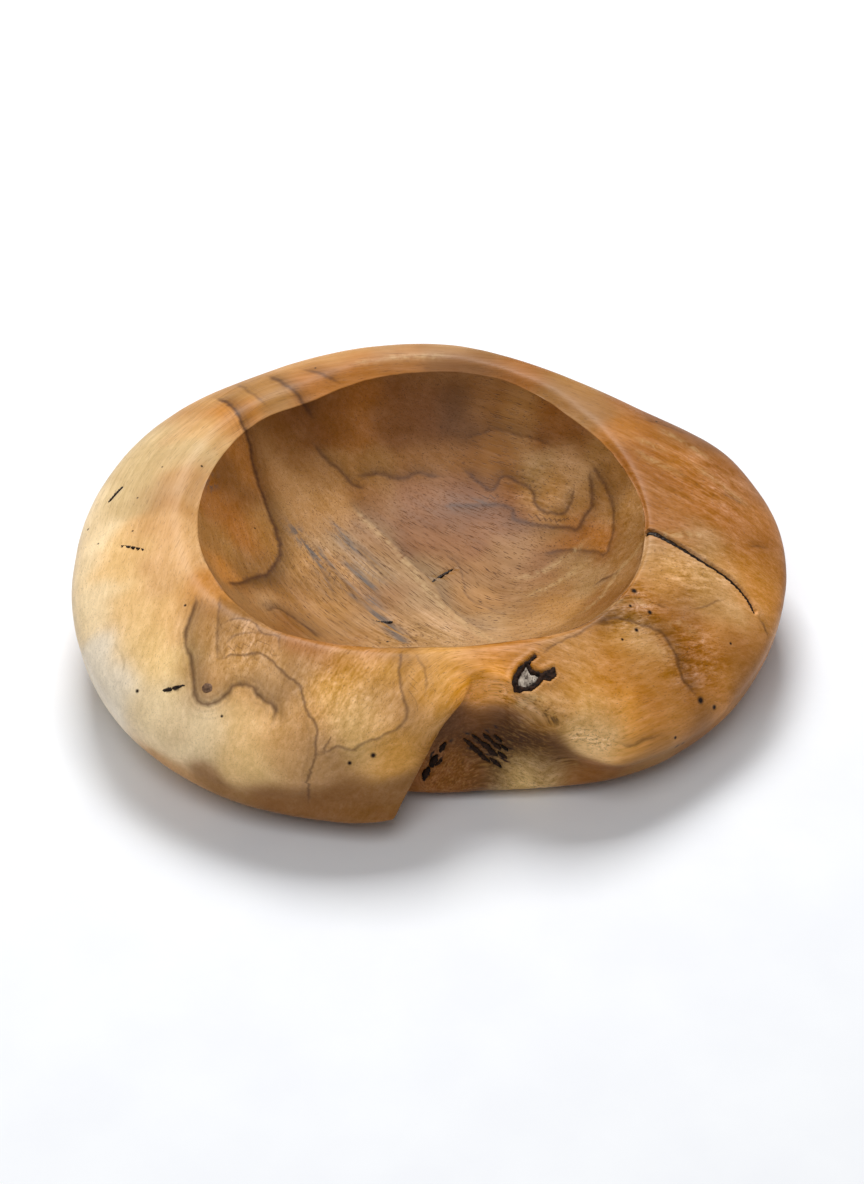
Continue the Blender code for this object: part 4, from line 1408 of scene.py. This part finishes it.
    @staticmethod
    def beside(
        co: np.ndarray, line: np.ndarray, side: np.ndarray, taper: np.ndarray, far: float
    ) -> tuple[np.ndarray, np.ndarray, np.ndarray]:
        """Distance from one line, and on which side, for the vertices close to it.

        Args:
            co: Vertex places.
            line: The line's close points.
            side: The line's side direction at each.
            taper: How fully the line shows at each.
            far: The distance past which nothing is worked out.

        Returns:
            The distance, the signed part of it across the line, and the taper at the nearest point.
        """
        gap = np.full(len(co), 1e3)
        across, ending = np.zeros(len(co)), np.zeros(len(co))
        inside = np.all((co > line.min(0) - far) & (co < line.max(0) + far), axis=1)
        chosen = np.nonzero(inside)[0]
        if len(chosen):
            step = 3 if len(line) > 60 else 1
            coarse = line[::step]
            square = ((co[chosen, None, :] - coarse[None]) ** 2).sum(2)
            best = square.argmin(1)
            gap[chosen] = np.sqrt(square[np.arange(len(chosen)), best])
            across[chosen] = ((co[chosen] - coarse[best]) * side[::step][best]).sum(1)
            ending[chosen] = taper[::step][best]
        return gap, across, ending

    def groove(
        self, co: np.ndarray, seam: Seam, depth: float, spare: float
    ) -> tuple[np.ndarray, np.ndarray, np.ndarray]:
        """How deep a seam's groove is at each vertex.

        Args:
            co: Vertex places.
            seam: The seam.
            depth: The groove's depth.
            spare: How much wider than the seam it is.

        Returns:
            The depth, the distance across the seam less its half width, and the signed side.
        """
        flat = along_line(np.array(seam.points), 1.5)
        places, normals = self.wood.trace(flat, seam.from_front)
        fine = along_line(places, 0.4)
        run = np.gradient(fine, axis=0)
        run /= np.linalg.norm(run, axis=1, keepdims=True)
        share = np.linspace(0, len(places) - 1, len(fine))
        up = np.stack([np.interp(share, np.arange(len(places)), normals[:, k]) for k in range(3)], 1)
        side = np.cross(up, run)
        half = np.interp(np.linspace(0, 1, len(fine)), [0, 0.5, 1], seam.widths) / 2
        gap, across, _ = self.beside(co, fine, side, half, 12.0)
        _, _, half_here = self.beside(co, fine, side, half, 12.0)
        edge = gap - half_here - spare
        return depth * smooth_step(0.5, -0.6, edge), edge, across

    def relief(self, co: np.ndarray, t: np.ndarray, fibre: np.ndarray) -> np.ndarray:
        """How far each vertex moves out along its normal, in millimetres.

        Args:
            co: Vertex places.
            t: Each vertex's place on the form.
            fibre: Coordinates along and across the fibres.

        Returns:
            The move of each vertex, negative into the wood.
        """
        (slow_size, slow_height), (quick_size, quick_height) = self.SLOW_WAVE, self.QUICK_WAVE
        slow = np.array([noise.noise(place) for place in (co / slow_size).tolist()])
        quick = np.array([noise.noise(place) for place in (co / quick_size + (7, 0, 0)).tolist()])
        above_foot = smooth_step(6.95, 6.4, t)
        # Gouge strokes along the fibres, a few millimetres wide.
        along, across, height = self.STROKE
        strokes = np.array([noise.noise((a / along, b / across, 0.5)) for a, b in fibre.tolist()])
        return (slow_height * slow + quick_height * quick + height * strokes) * above_foot

    def build(self) -> bpy.types.Object:
        """Carves the relief, stores the attributes and returns the finished body."""
        bm = self.bm
        layers = [bm.verts.layers.float[name] for name in self.LAYERS]
        rows = np.array([[v[layer] for layer in layers] for v in bm.verts])
        t, hollow_fibre, outside_fibre = rows[:, 0], rows[:, 2:4], rows[:, 4:6]
        co = np.array([v.co for v in bm.verts]) / MM
        normals = np.array([v.normal for v in bm.verts])
        fibre = np.where((t < self.form.LIP_T)[:, None], hollow_fibre, outside_fibre)
        move = self.relief(co, t, fibre)

        depth, edge, side = self.groove(co, CRACK, *self.CRACK_GROOVE)
        move -= depth
        height, place, breadth = self.CRACK_BURR
        move += height * np.exp(-(((edge - place) / breadth) ** 2)) * (side > 0)
        for seam in CHECKS.values():
            move -= self.groove(co, seam, *self.CHECK_GROOVE)[0]
        for seams in FOLD_BARK.values():
            for seam in seams:
                move -= self.groove(co, seam, *self.BARK_GROOVE)[0]
        knot = polygon_distance(np.array(KNOT_BARK_OUTLINE), co[:, :2]) + 100 * (co[:, 2] < 30)
        move -= self.KNOT_POCKET * smooth_step(0.3, -0.7, knot)
        height, place, breadth = self.KNOT_BURR
        move += height * np.exp(-(((knot - place) / breadth) ** 2))
        pin = np.linalg.norm(co[:, :2] - np.array(PIN_KNOT_PLACE), axis=1) + 100 * (co[:, 2] < 20)
        move -= self.PIN_POCKET * smooth_step(3.0, 1.6, pin)
        # Torn fibres on the wall of the fold and along the ridge to its right.
        in_fold = smooth_step(*self.FOLD_WEST, co[:, 0]) * smooth_step(*self.FOLD_EAST, co[:, 0])
        in_fold *= smooth_step(*self.FOLD_FRONT, co[:, 1])
        in_fold *= smooth_step(*self.FOLD_TOP, co[:, 2]) * smooth_step(*self.FOLD_BOTTOM, co[:, 2])
        x, z, flatness = self.ARCH
        arch = np.hypot(co[:, 0] - x, (co[:, 2] - z) * flatness)
        size, length, height = self.ARCH_WAVE
        pairs = zip((arch / size).tolist(), (co[:, 0] / length).tolist())
        move += height * np.array([noise.noise((a, b, 3.0)) for a, b in pairs]) * in_fold

        figure, width, shade = self.figure(co)
        tone = self.tones(co, t) * (1 - shade)[:, None]
        # Painted shade: the fold's wall is darkened towards the ridge above it, blue most, where the
        # overhang keeps the light off.
        painted_shade_under_ridge = (in_fold * smooth_step(*self.UNDER_RIDGE_SHADE_HEIGHTS, co[:, 2]))[:, None]
        tone = tone * (1 - painted_shade_under_ridge * np.array(self.FOLD_PAINTED_SHADE))
        grey = self.streaked(co, GREY_STREAKS, self.GREY_REACH)
        pale = self.streaked(co, PALE_STREAKS, self.PALE_REACH)
        pore = 0.35 + 0.45 * smooth_step(1.0, 0.9, t)
        strong = np.zeros(len(co))
        for x, y, reach, amount in STRONG_GRAIN:
            centre = np.array(self.wood.above(x, y)[0])
            strong = np.maximum(strong, amount * np.exp(-((co - centre) ** 2).sum(1) / reach**2))
        ridge = self.streaked(co, (RIDGE,), self.RIDGE_REACH)
        torn = np.maximum(0.55 * in_fold, ridge)
        strong = np.maximum(strong, 0.9 * torn)
        pore = pore + 0.4 * np.clip(strong, 0, 1)
        middle, rise = self.ARCH_RISE
        height = co[:, 2] + rise * (co[:, 0] - middle) ** 2 * in_fold
        for vert, shift, normal in zip(bm.verts, (move * MM).tolist(), normals):
            vert.co = vert.co + Vector(normal) * shift
        specks = [(*(self.wood.above(x, y)[0] * MM), radius * MM) for x, y, radius in SPECKS]
        body = object_from(bm, "carved_teak_body", TeakFinish().material(specks))
        self.store(body, "tone", "FLOAT_COLOR", np.concatenate([tone, np.ones((len(tone), 1))], 1))
        self.store_fibres(body, t, height, hollow_fibre, outside_fibre)
        self.store(body, "figure", "FLOAT_VECTOR", figure)
        self.store(body, "marks", "FLOAT_VECTOR", np.stack([grey, pale, pore], 1))
        self.store(body, "amounts", "FLOAT_VECTOR", np.stack([width, strong, torn], 1))
        dress(body, "bowl_body")
        return body

    def store_fibres(
        self,
        piece: bpy.types.Object,
        t: np.ndarray,
        height: np.ndarray,
        hollow_fibre: np.ndarray,
        outside_fibre: np.ndarray,
    ) -> None:
        """Stores the fibre coordinates on face corners, so that they may break at the lip.

        Args:
            piece: The body.
            t: Each vertex's place on the form.
            height: Each vertex's height, which is the second way across the level fibres.
            hollow_fibre: Each vertex's coordinates on the hollow's side.
            outside_fibre: Each vertex's coordinates on the outer side.
        """
        mesh = piece.data
        corner = np.empty(len(mesh.loops), np.int32)
        mesh.loops.foreach_get("vertex_index", corner)
        start = np.empty(len(mesh.polygons), np.int32)
        size = np.empty(len(mesh.polygons), np.int32)
        mesh.polygons.foreach_get("loop_start", start)
        mesh.polygons.foreach_get("loop_total", size)
        lowest = np.minimum.reduceat(t[corner], start)
        inner = np.repeat(lowest < self.form.LIP_T - 1e-4, size)
        rows = np.empty((len(corner), 3))
        rows[:, :2] = np.where(inner[:, None], hollow_fibre[corner], outside_fibre[corner])
        rows[:, 2] = height[corner]
        attribute = mesh.attributes.new("fibre", "FLOAT_VECTOR", "CORNER")
        attribute.data.foreach_set("vector", rows.astype(np.float32).ravel())

    @staticmethod
    def store(piece: bpy.types.Object, name: str, kind: str, rows: np.ndarray) -> None:
        """Stores one row of numbers for each vertex as a named attribute."""
        attribute = piece.data.attributes.new(name, kind, "POINT")
        field = "color" if kind == "FLOAT_COLOR" else "vector"
        attribute.data.foreach_set(field, rows.astype(np.float32).ravel())


@dataclass
class SeamFiller:
    """Resin or bark let into one or more checks, uneven along its length."""

    name: str
    seams: tuple[Seam, ...]
    sink: float
    unevenness: float
    slices: int = 40

    def build(self, wood: Wood, material: bpy.types.Material) -> bpy.types.Object:
        """Lays one block along each seam and joins them in one piece.

        Args:
            wood: The carved surface.
            material: The filler's finish.

        Returns:
            The finished piece.
        """
        bm = bmesh.new()
        for seam in self.seams:
            block = self.block(wood, seam)
            mesh = bpy.data.meshes.new("block")
            block.to_mesh(mesh)
            block.free()
            bm.from_mesh(mesh)
            bpy.data.meshes.remove(mesh)
        bmesh.ops.recalc_face_normals(bm, faces=bm.faces)
        return object_from(bm, self.name, material)

    def block(self, wood: Wood, seam: Seam) -> bmesh.types.BMesh:
        """Bends one divided block along one seam.

        Args:
            wood: The carved surface.
            seam: The seam.

        Returns:
            The block.
        """
        bm = bmesh.new()
        bmesh.ops.create_cube(bm, size=1.0)
        long_edges = [e for e in bm.edges if abs(e.verts[0].co.x - e.verts[1].co.x) > 0.5]
        bmesh.ops.subdivide_edges(bm, edges=long_edges, cuts=self.slices - 1, use_grid_fill=True)
        cross_edges = [e for e in bm.edges if abs(e.verts[0].co.y - e.verts[1].co.y) > 0.5]
        bmesh.ops.subdivide_edges(bm, edges=cross_edges, cuts=3, use_grid_fill=True)
        flat = along_line(np.array(seam.points), 0.5)
        places, normals = wood.trace(flat, seam.from_front)
        mean = Vector(normals.mean(0)).normalized()
        run = np.gradient(places, axis=0)
        shares = np.linspace(0, 1, len(places))
        for vert in bm.verts:
            share = vert.co.x + 0.5
            place = Vector([float(np.interp(share, shares, places[:, k])) for k in range(3)])
            ahead = Vector([float(np.interp(share, shares, run[:, k])) for k in range(3)]).normalized()
            side = mean.cross(ahead).normalized()
            half = float(np.interp(share, [0, 0.5, 1], seam.widths)) / 2
            half *= 0.4 + 0.6 * min(1.0, 14 * min(share, 1 - share))
            rough = noise.noise((share * 23, vert.co.y * 1.7, len(self.name) + place.x))
            half *= 1 + self.unevenness * noise.noise((share * 17, vert.co.y, 9.0 + place.z))
            bulge = 1 - (2 * vert.co.y) ** 2
            lift = -self.sink + 0.2 * bulge + self.unevenness * rough if vert.co.z > 0 else -seam.depth
            half *= 1.0 if vert.co.z > 0 else 0.6
            vert.co = (place + side * (2 * vert.co.y * half) + mean * lift) * MM
        return bm


class Knot:
    """The dead knot beside the fold: rough bark round bleached wood."""

    BARK_DEPTH = 5.0
    CELL = 0.42

    def __init__(self, wood: Wood) -> None:
        """Keeps the surface that the knot sits in."""
        self.wood = wood

    def block(self, outline: tuple, top: float, root: float) -> bmesh.types.BMesh:
        """A block with this plan outline that follows the wood's surface at both its ends.

        Args:
            outline: Plan corners.
            top: Height of its face above the wood.
            root: Height of its root above the wood.

        Returns:
            The mesh.
        """
        bm = bmesh.new()
        smooth = along_line(np.array([*outline, outline[0]], float), 1.0)[:-1]
        places = [self.wood.above(x, y)[0] for x, y in smooth]
        face = bm.faces.new([bm.verts.new(place * MM) for place in places])
        raised = bmesh.ops.extrude_face_region(bm, geom=[face])["geom"]
        upper = {v for v in raised if isinstance(v, bmesh.types.BMVert)}
        for vert in bm.verts:
            vert.co.z += (top if vert in upper else root) * MM
        bmesh.ops.triangulate(bm, faces=bm.faces)
        bmesh.ops.recalc_face_normals(bm, faces=bm.faces)
        return bm

    def even(self, bm: bmesh.types.BMesh, name: str, material: bpy.types.Material) -> bpy.types.Object:
        """Divides a block into small even cells and leaves no modifier on it.

        Args:
            bm: The block.
            name: The piece's name.
            material: Its finish.

        Returns:
            The piece.
        """
        piece = object_from(bm, name, material)
        remesh = piece.modifiers.new("even", "REMESH")
        remesh.mode = "VOXEL"
        remesh.voxel_size = self.CELL * MM
        bpy.context.view_layer.update()
        evaluated = piece.evaluated_get(bpy.context.evaluated_depsgraph_get())
        mesh = bpy.data.meshes.new_from_object(evaluated)
        piece.modifiers.clear()
        mesh.name = name
        piece.data = mesh
        mesh.shade_smooth()
        return piece

    def roughen(self, piece: bpy.types.Object, size: float, depth: float, top_only: float) -> None:
        """Moves the piece's vertices along their normals by layered noise.

        Args:
            piece: The piece.
            size: Size of the roughness, in millimetres.
            depth: Its depth, in millimetres.
            top_only: Extra hollowing of the middle, in millimetres.
        """
        vertices = piece.data.vertices
        plan = np.array([vert.co.xy for vert in vertices]) / MM
        inside = smooth_step(0.8, -0.6, polygon_distance(np.array(KNOT_WOOD_OUTLINE), plan))
        for vert, share in zip(vertices, inside.tolist()):
            rough = noise.fractal(vert.co / MM / size, 0.8, 2.1, 4)
            vert.co += vert.normal * (rough * depth * MM)
            if vert.normal.z > 0.3:
                vert.co.z -= top_only * share * MM

    def build(self) -> None:
        """Makes the bark rim and the dead wood inside it."""
        block = self.block(KNOT_BARK_OUTLINE, 0.1, -self.BARK_DEPTH)
        bark = self.even(block, "knot_bark_rim", BARK.material())
        self.roughen(bark, 1.6, 0.55, 2.0)
        dress(bark, "knot_bark")
        core = self.even(self.block(KNOT_WOOD_OUTLINE, -0.5, -4.0), "dead_knot_core", DEAD_WOOD.material())
        self.roughen(core, 2.2, 0.35, 0.0)
        dress(core, "dead_knot")


class PinKnot:
    """A small round knot, nearly flush with the sapwood."""

    RINGS = 12
    SEGMENTS = 28

    def build(self, wood: Wood) -> None:
        """Makes the domed plug of the pin knot.

        Args:
            wood: The carved surface.
        """
        centre, normal = wood.above(*PIN_KNOT_PLACE)
        bm = bmesh.new()
        bmesh.ops.create_uvsphere(bm, u_segments=self.SEGMENTS, v_segments=self.RINGS, radius=1.0)
        for vert in bm.verts:
            wobble = 1 + 0.12 * noise.noise((vert.co.x * 1.3, vert.co.y * 1.3, 4.0))
            lift = vert.co.z * (0.5 if vert.co.z > 0 else 3.0) - 0.55
            x, y = (side * radius * wobble for side, radius in zip(vert.co.xy, PIN_KNOT_RADII))
            vert.co = Vector((x, y, lift)) * MM
        bmesh.ops.rotate(bm, verts=bm.verts, matrix=normal.to_track_quat("Z", "Y").to_matrix())
        bmesh.ops.translate(bm, verts=bm.verts, vec=centre * MM)
        piece = object_from(bm, "pin_knot_plug", PIN_WOOD.material())
        dress(piece, "pin_knot")


@dataclass(frozen=True)
class SoftBox:
    """A large soft studio light: its place, its size, its power and what it points at."""

    name: str
    place: tuple[float, float, float]
    size: float
    power: float
    colour: str = "FFFFFF"


@dataclass(frozen=True)
class Studio:
    """Pale paper, soft boxes and the camera."""

    target: tuple[float, float, float] = (0.0045, -0.025, 0.038)
    elevation: float = 40.0
    distance: float = 0.95
    lens: float = 68.75
    floor_size: float = 6.0
    world_light: float = 0.19
    lights: tuple[SoftBox, ...] = (
        SoftBox("key_soft_box", (-0.10, 0.78, 1.32), 0.7, 22.0),
        SoftBox("fill_soft_box", (-0.15, -0.78, 1.45), 1.0, 8.5),
    )

    def build(self) -> None:
        """Lays the floor, hangs the lights and sets the camera."""
        bm = bmesh.new()
        bmesh.ops.create_grid(bm, x_segments=2, y_segments=2, size=self.floor_size / 2)
        floor = object_from(bm, "studio_floor", PAPER.material())
        for box in self.lights:
            self.hang(box)
        scene = bpy.context.scene
        world = bpy.data.worlds.new("studio_air")
        world.use_nodes = True
        background = world.node_tree.nodes["Background"]
        background.inputs["Color"].default_value = (1.0, 1.0, 1.0, 1.0)
        background.inputs["Strength"].default_value = self.world_light
        scene.world = world
        scene.view_settings.view_transform = "Standard"
        self.set_camera(scene)

    def hang(self, box: SoftBox) -> None:
        """Hangs one soft box, pointing at the bowl.

        Args:
            box: The soft box.
        """
        light = bpy.data.lights.new(box.name, "AREA")
        light.shape = "SQUARE"
        light.size = box.size
        light.energy = box.power
        light.color = linear(box.colour)[:3]
        lamp = bpy.data.objects.new(box.name, light)
        lamp.location = box.place
        lamp.rotation_euler = (Vector(self.target) - Vector(box.place)).to_track_quat("-Z", "Y").to_euler()
        bpy.context.scene.collection.objects.link(lamp)

    def set_camera(self, scene: bpy.types.Scene) -> None:
        """Sets the camera to look along +Y and down at the bowl.

        Args:
            scene: The scene that gets the camera.
        """
        data = bpy.data.cameras.new("camera")
        data.lens = self.lens
        data.sensor_width = 36.0
        camera = bpy.data.objects.new("camera", data)
        tilt = math.radians(self.elevation)
        back = Vector((0.0, -math.cos(tilt), math.sin(tilt)))
        camera.location = Vector(self.target) + back * self.distance
        camera.rotation_euler = (-back).to_track_quat("-Z", "Y").to_euler()
        scene.collection.objects.link(camera)
        scene.camera = camera


def main() -> None:
    """Builds the bowl and the studio."""
    logging.basicConfig(level=logging.INFO, format="%(name)s: %(message)s")
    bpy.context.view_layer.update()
    Studio().build()
    body = WoodBody()
    resin, bark = RESIN.material(), BARK.material()
    crack = SeamFiller("crack_resin", (CRACK,), 0.9, 0.35, 90).build(body.wood, resin)
    dress(crack, "crack_filler")
    for node, seam in CHECKS.items():
        name = node.replace("_filler", "_resin")
        dress(SeamFiller(name, (seam,), 0.25, 0.3).build(body.wood, resin), node)
    for node, seams in FOLD_BARK.items():
        dress(SeamFiller(node + "_crust", seams, -0.3, 0.5, 14).build(body.wood, bark), node)
    Knot(body.wood).build()
    PinKnot().build(body.wood)
    body.build()


if __name__ == "__main__":
    main()
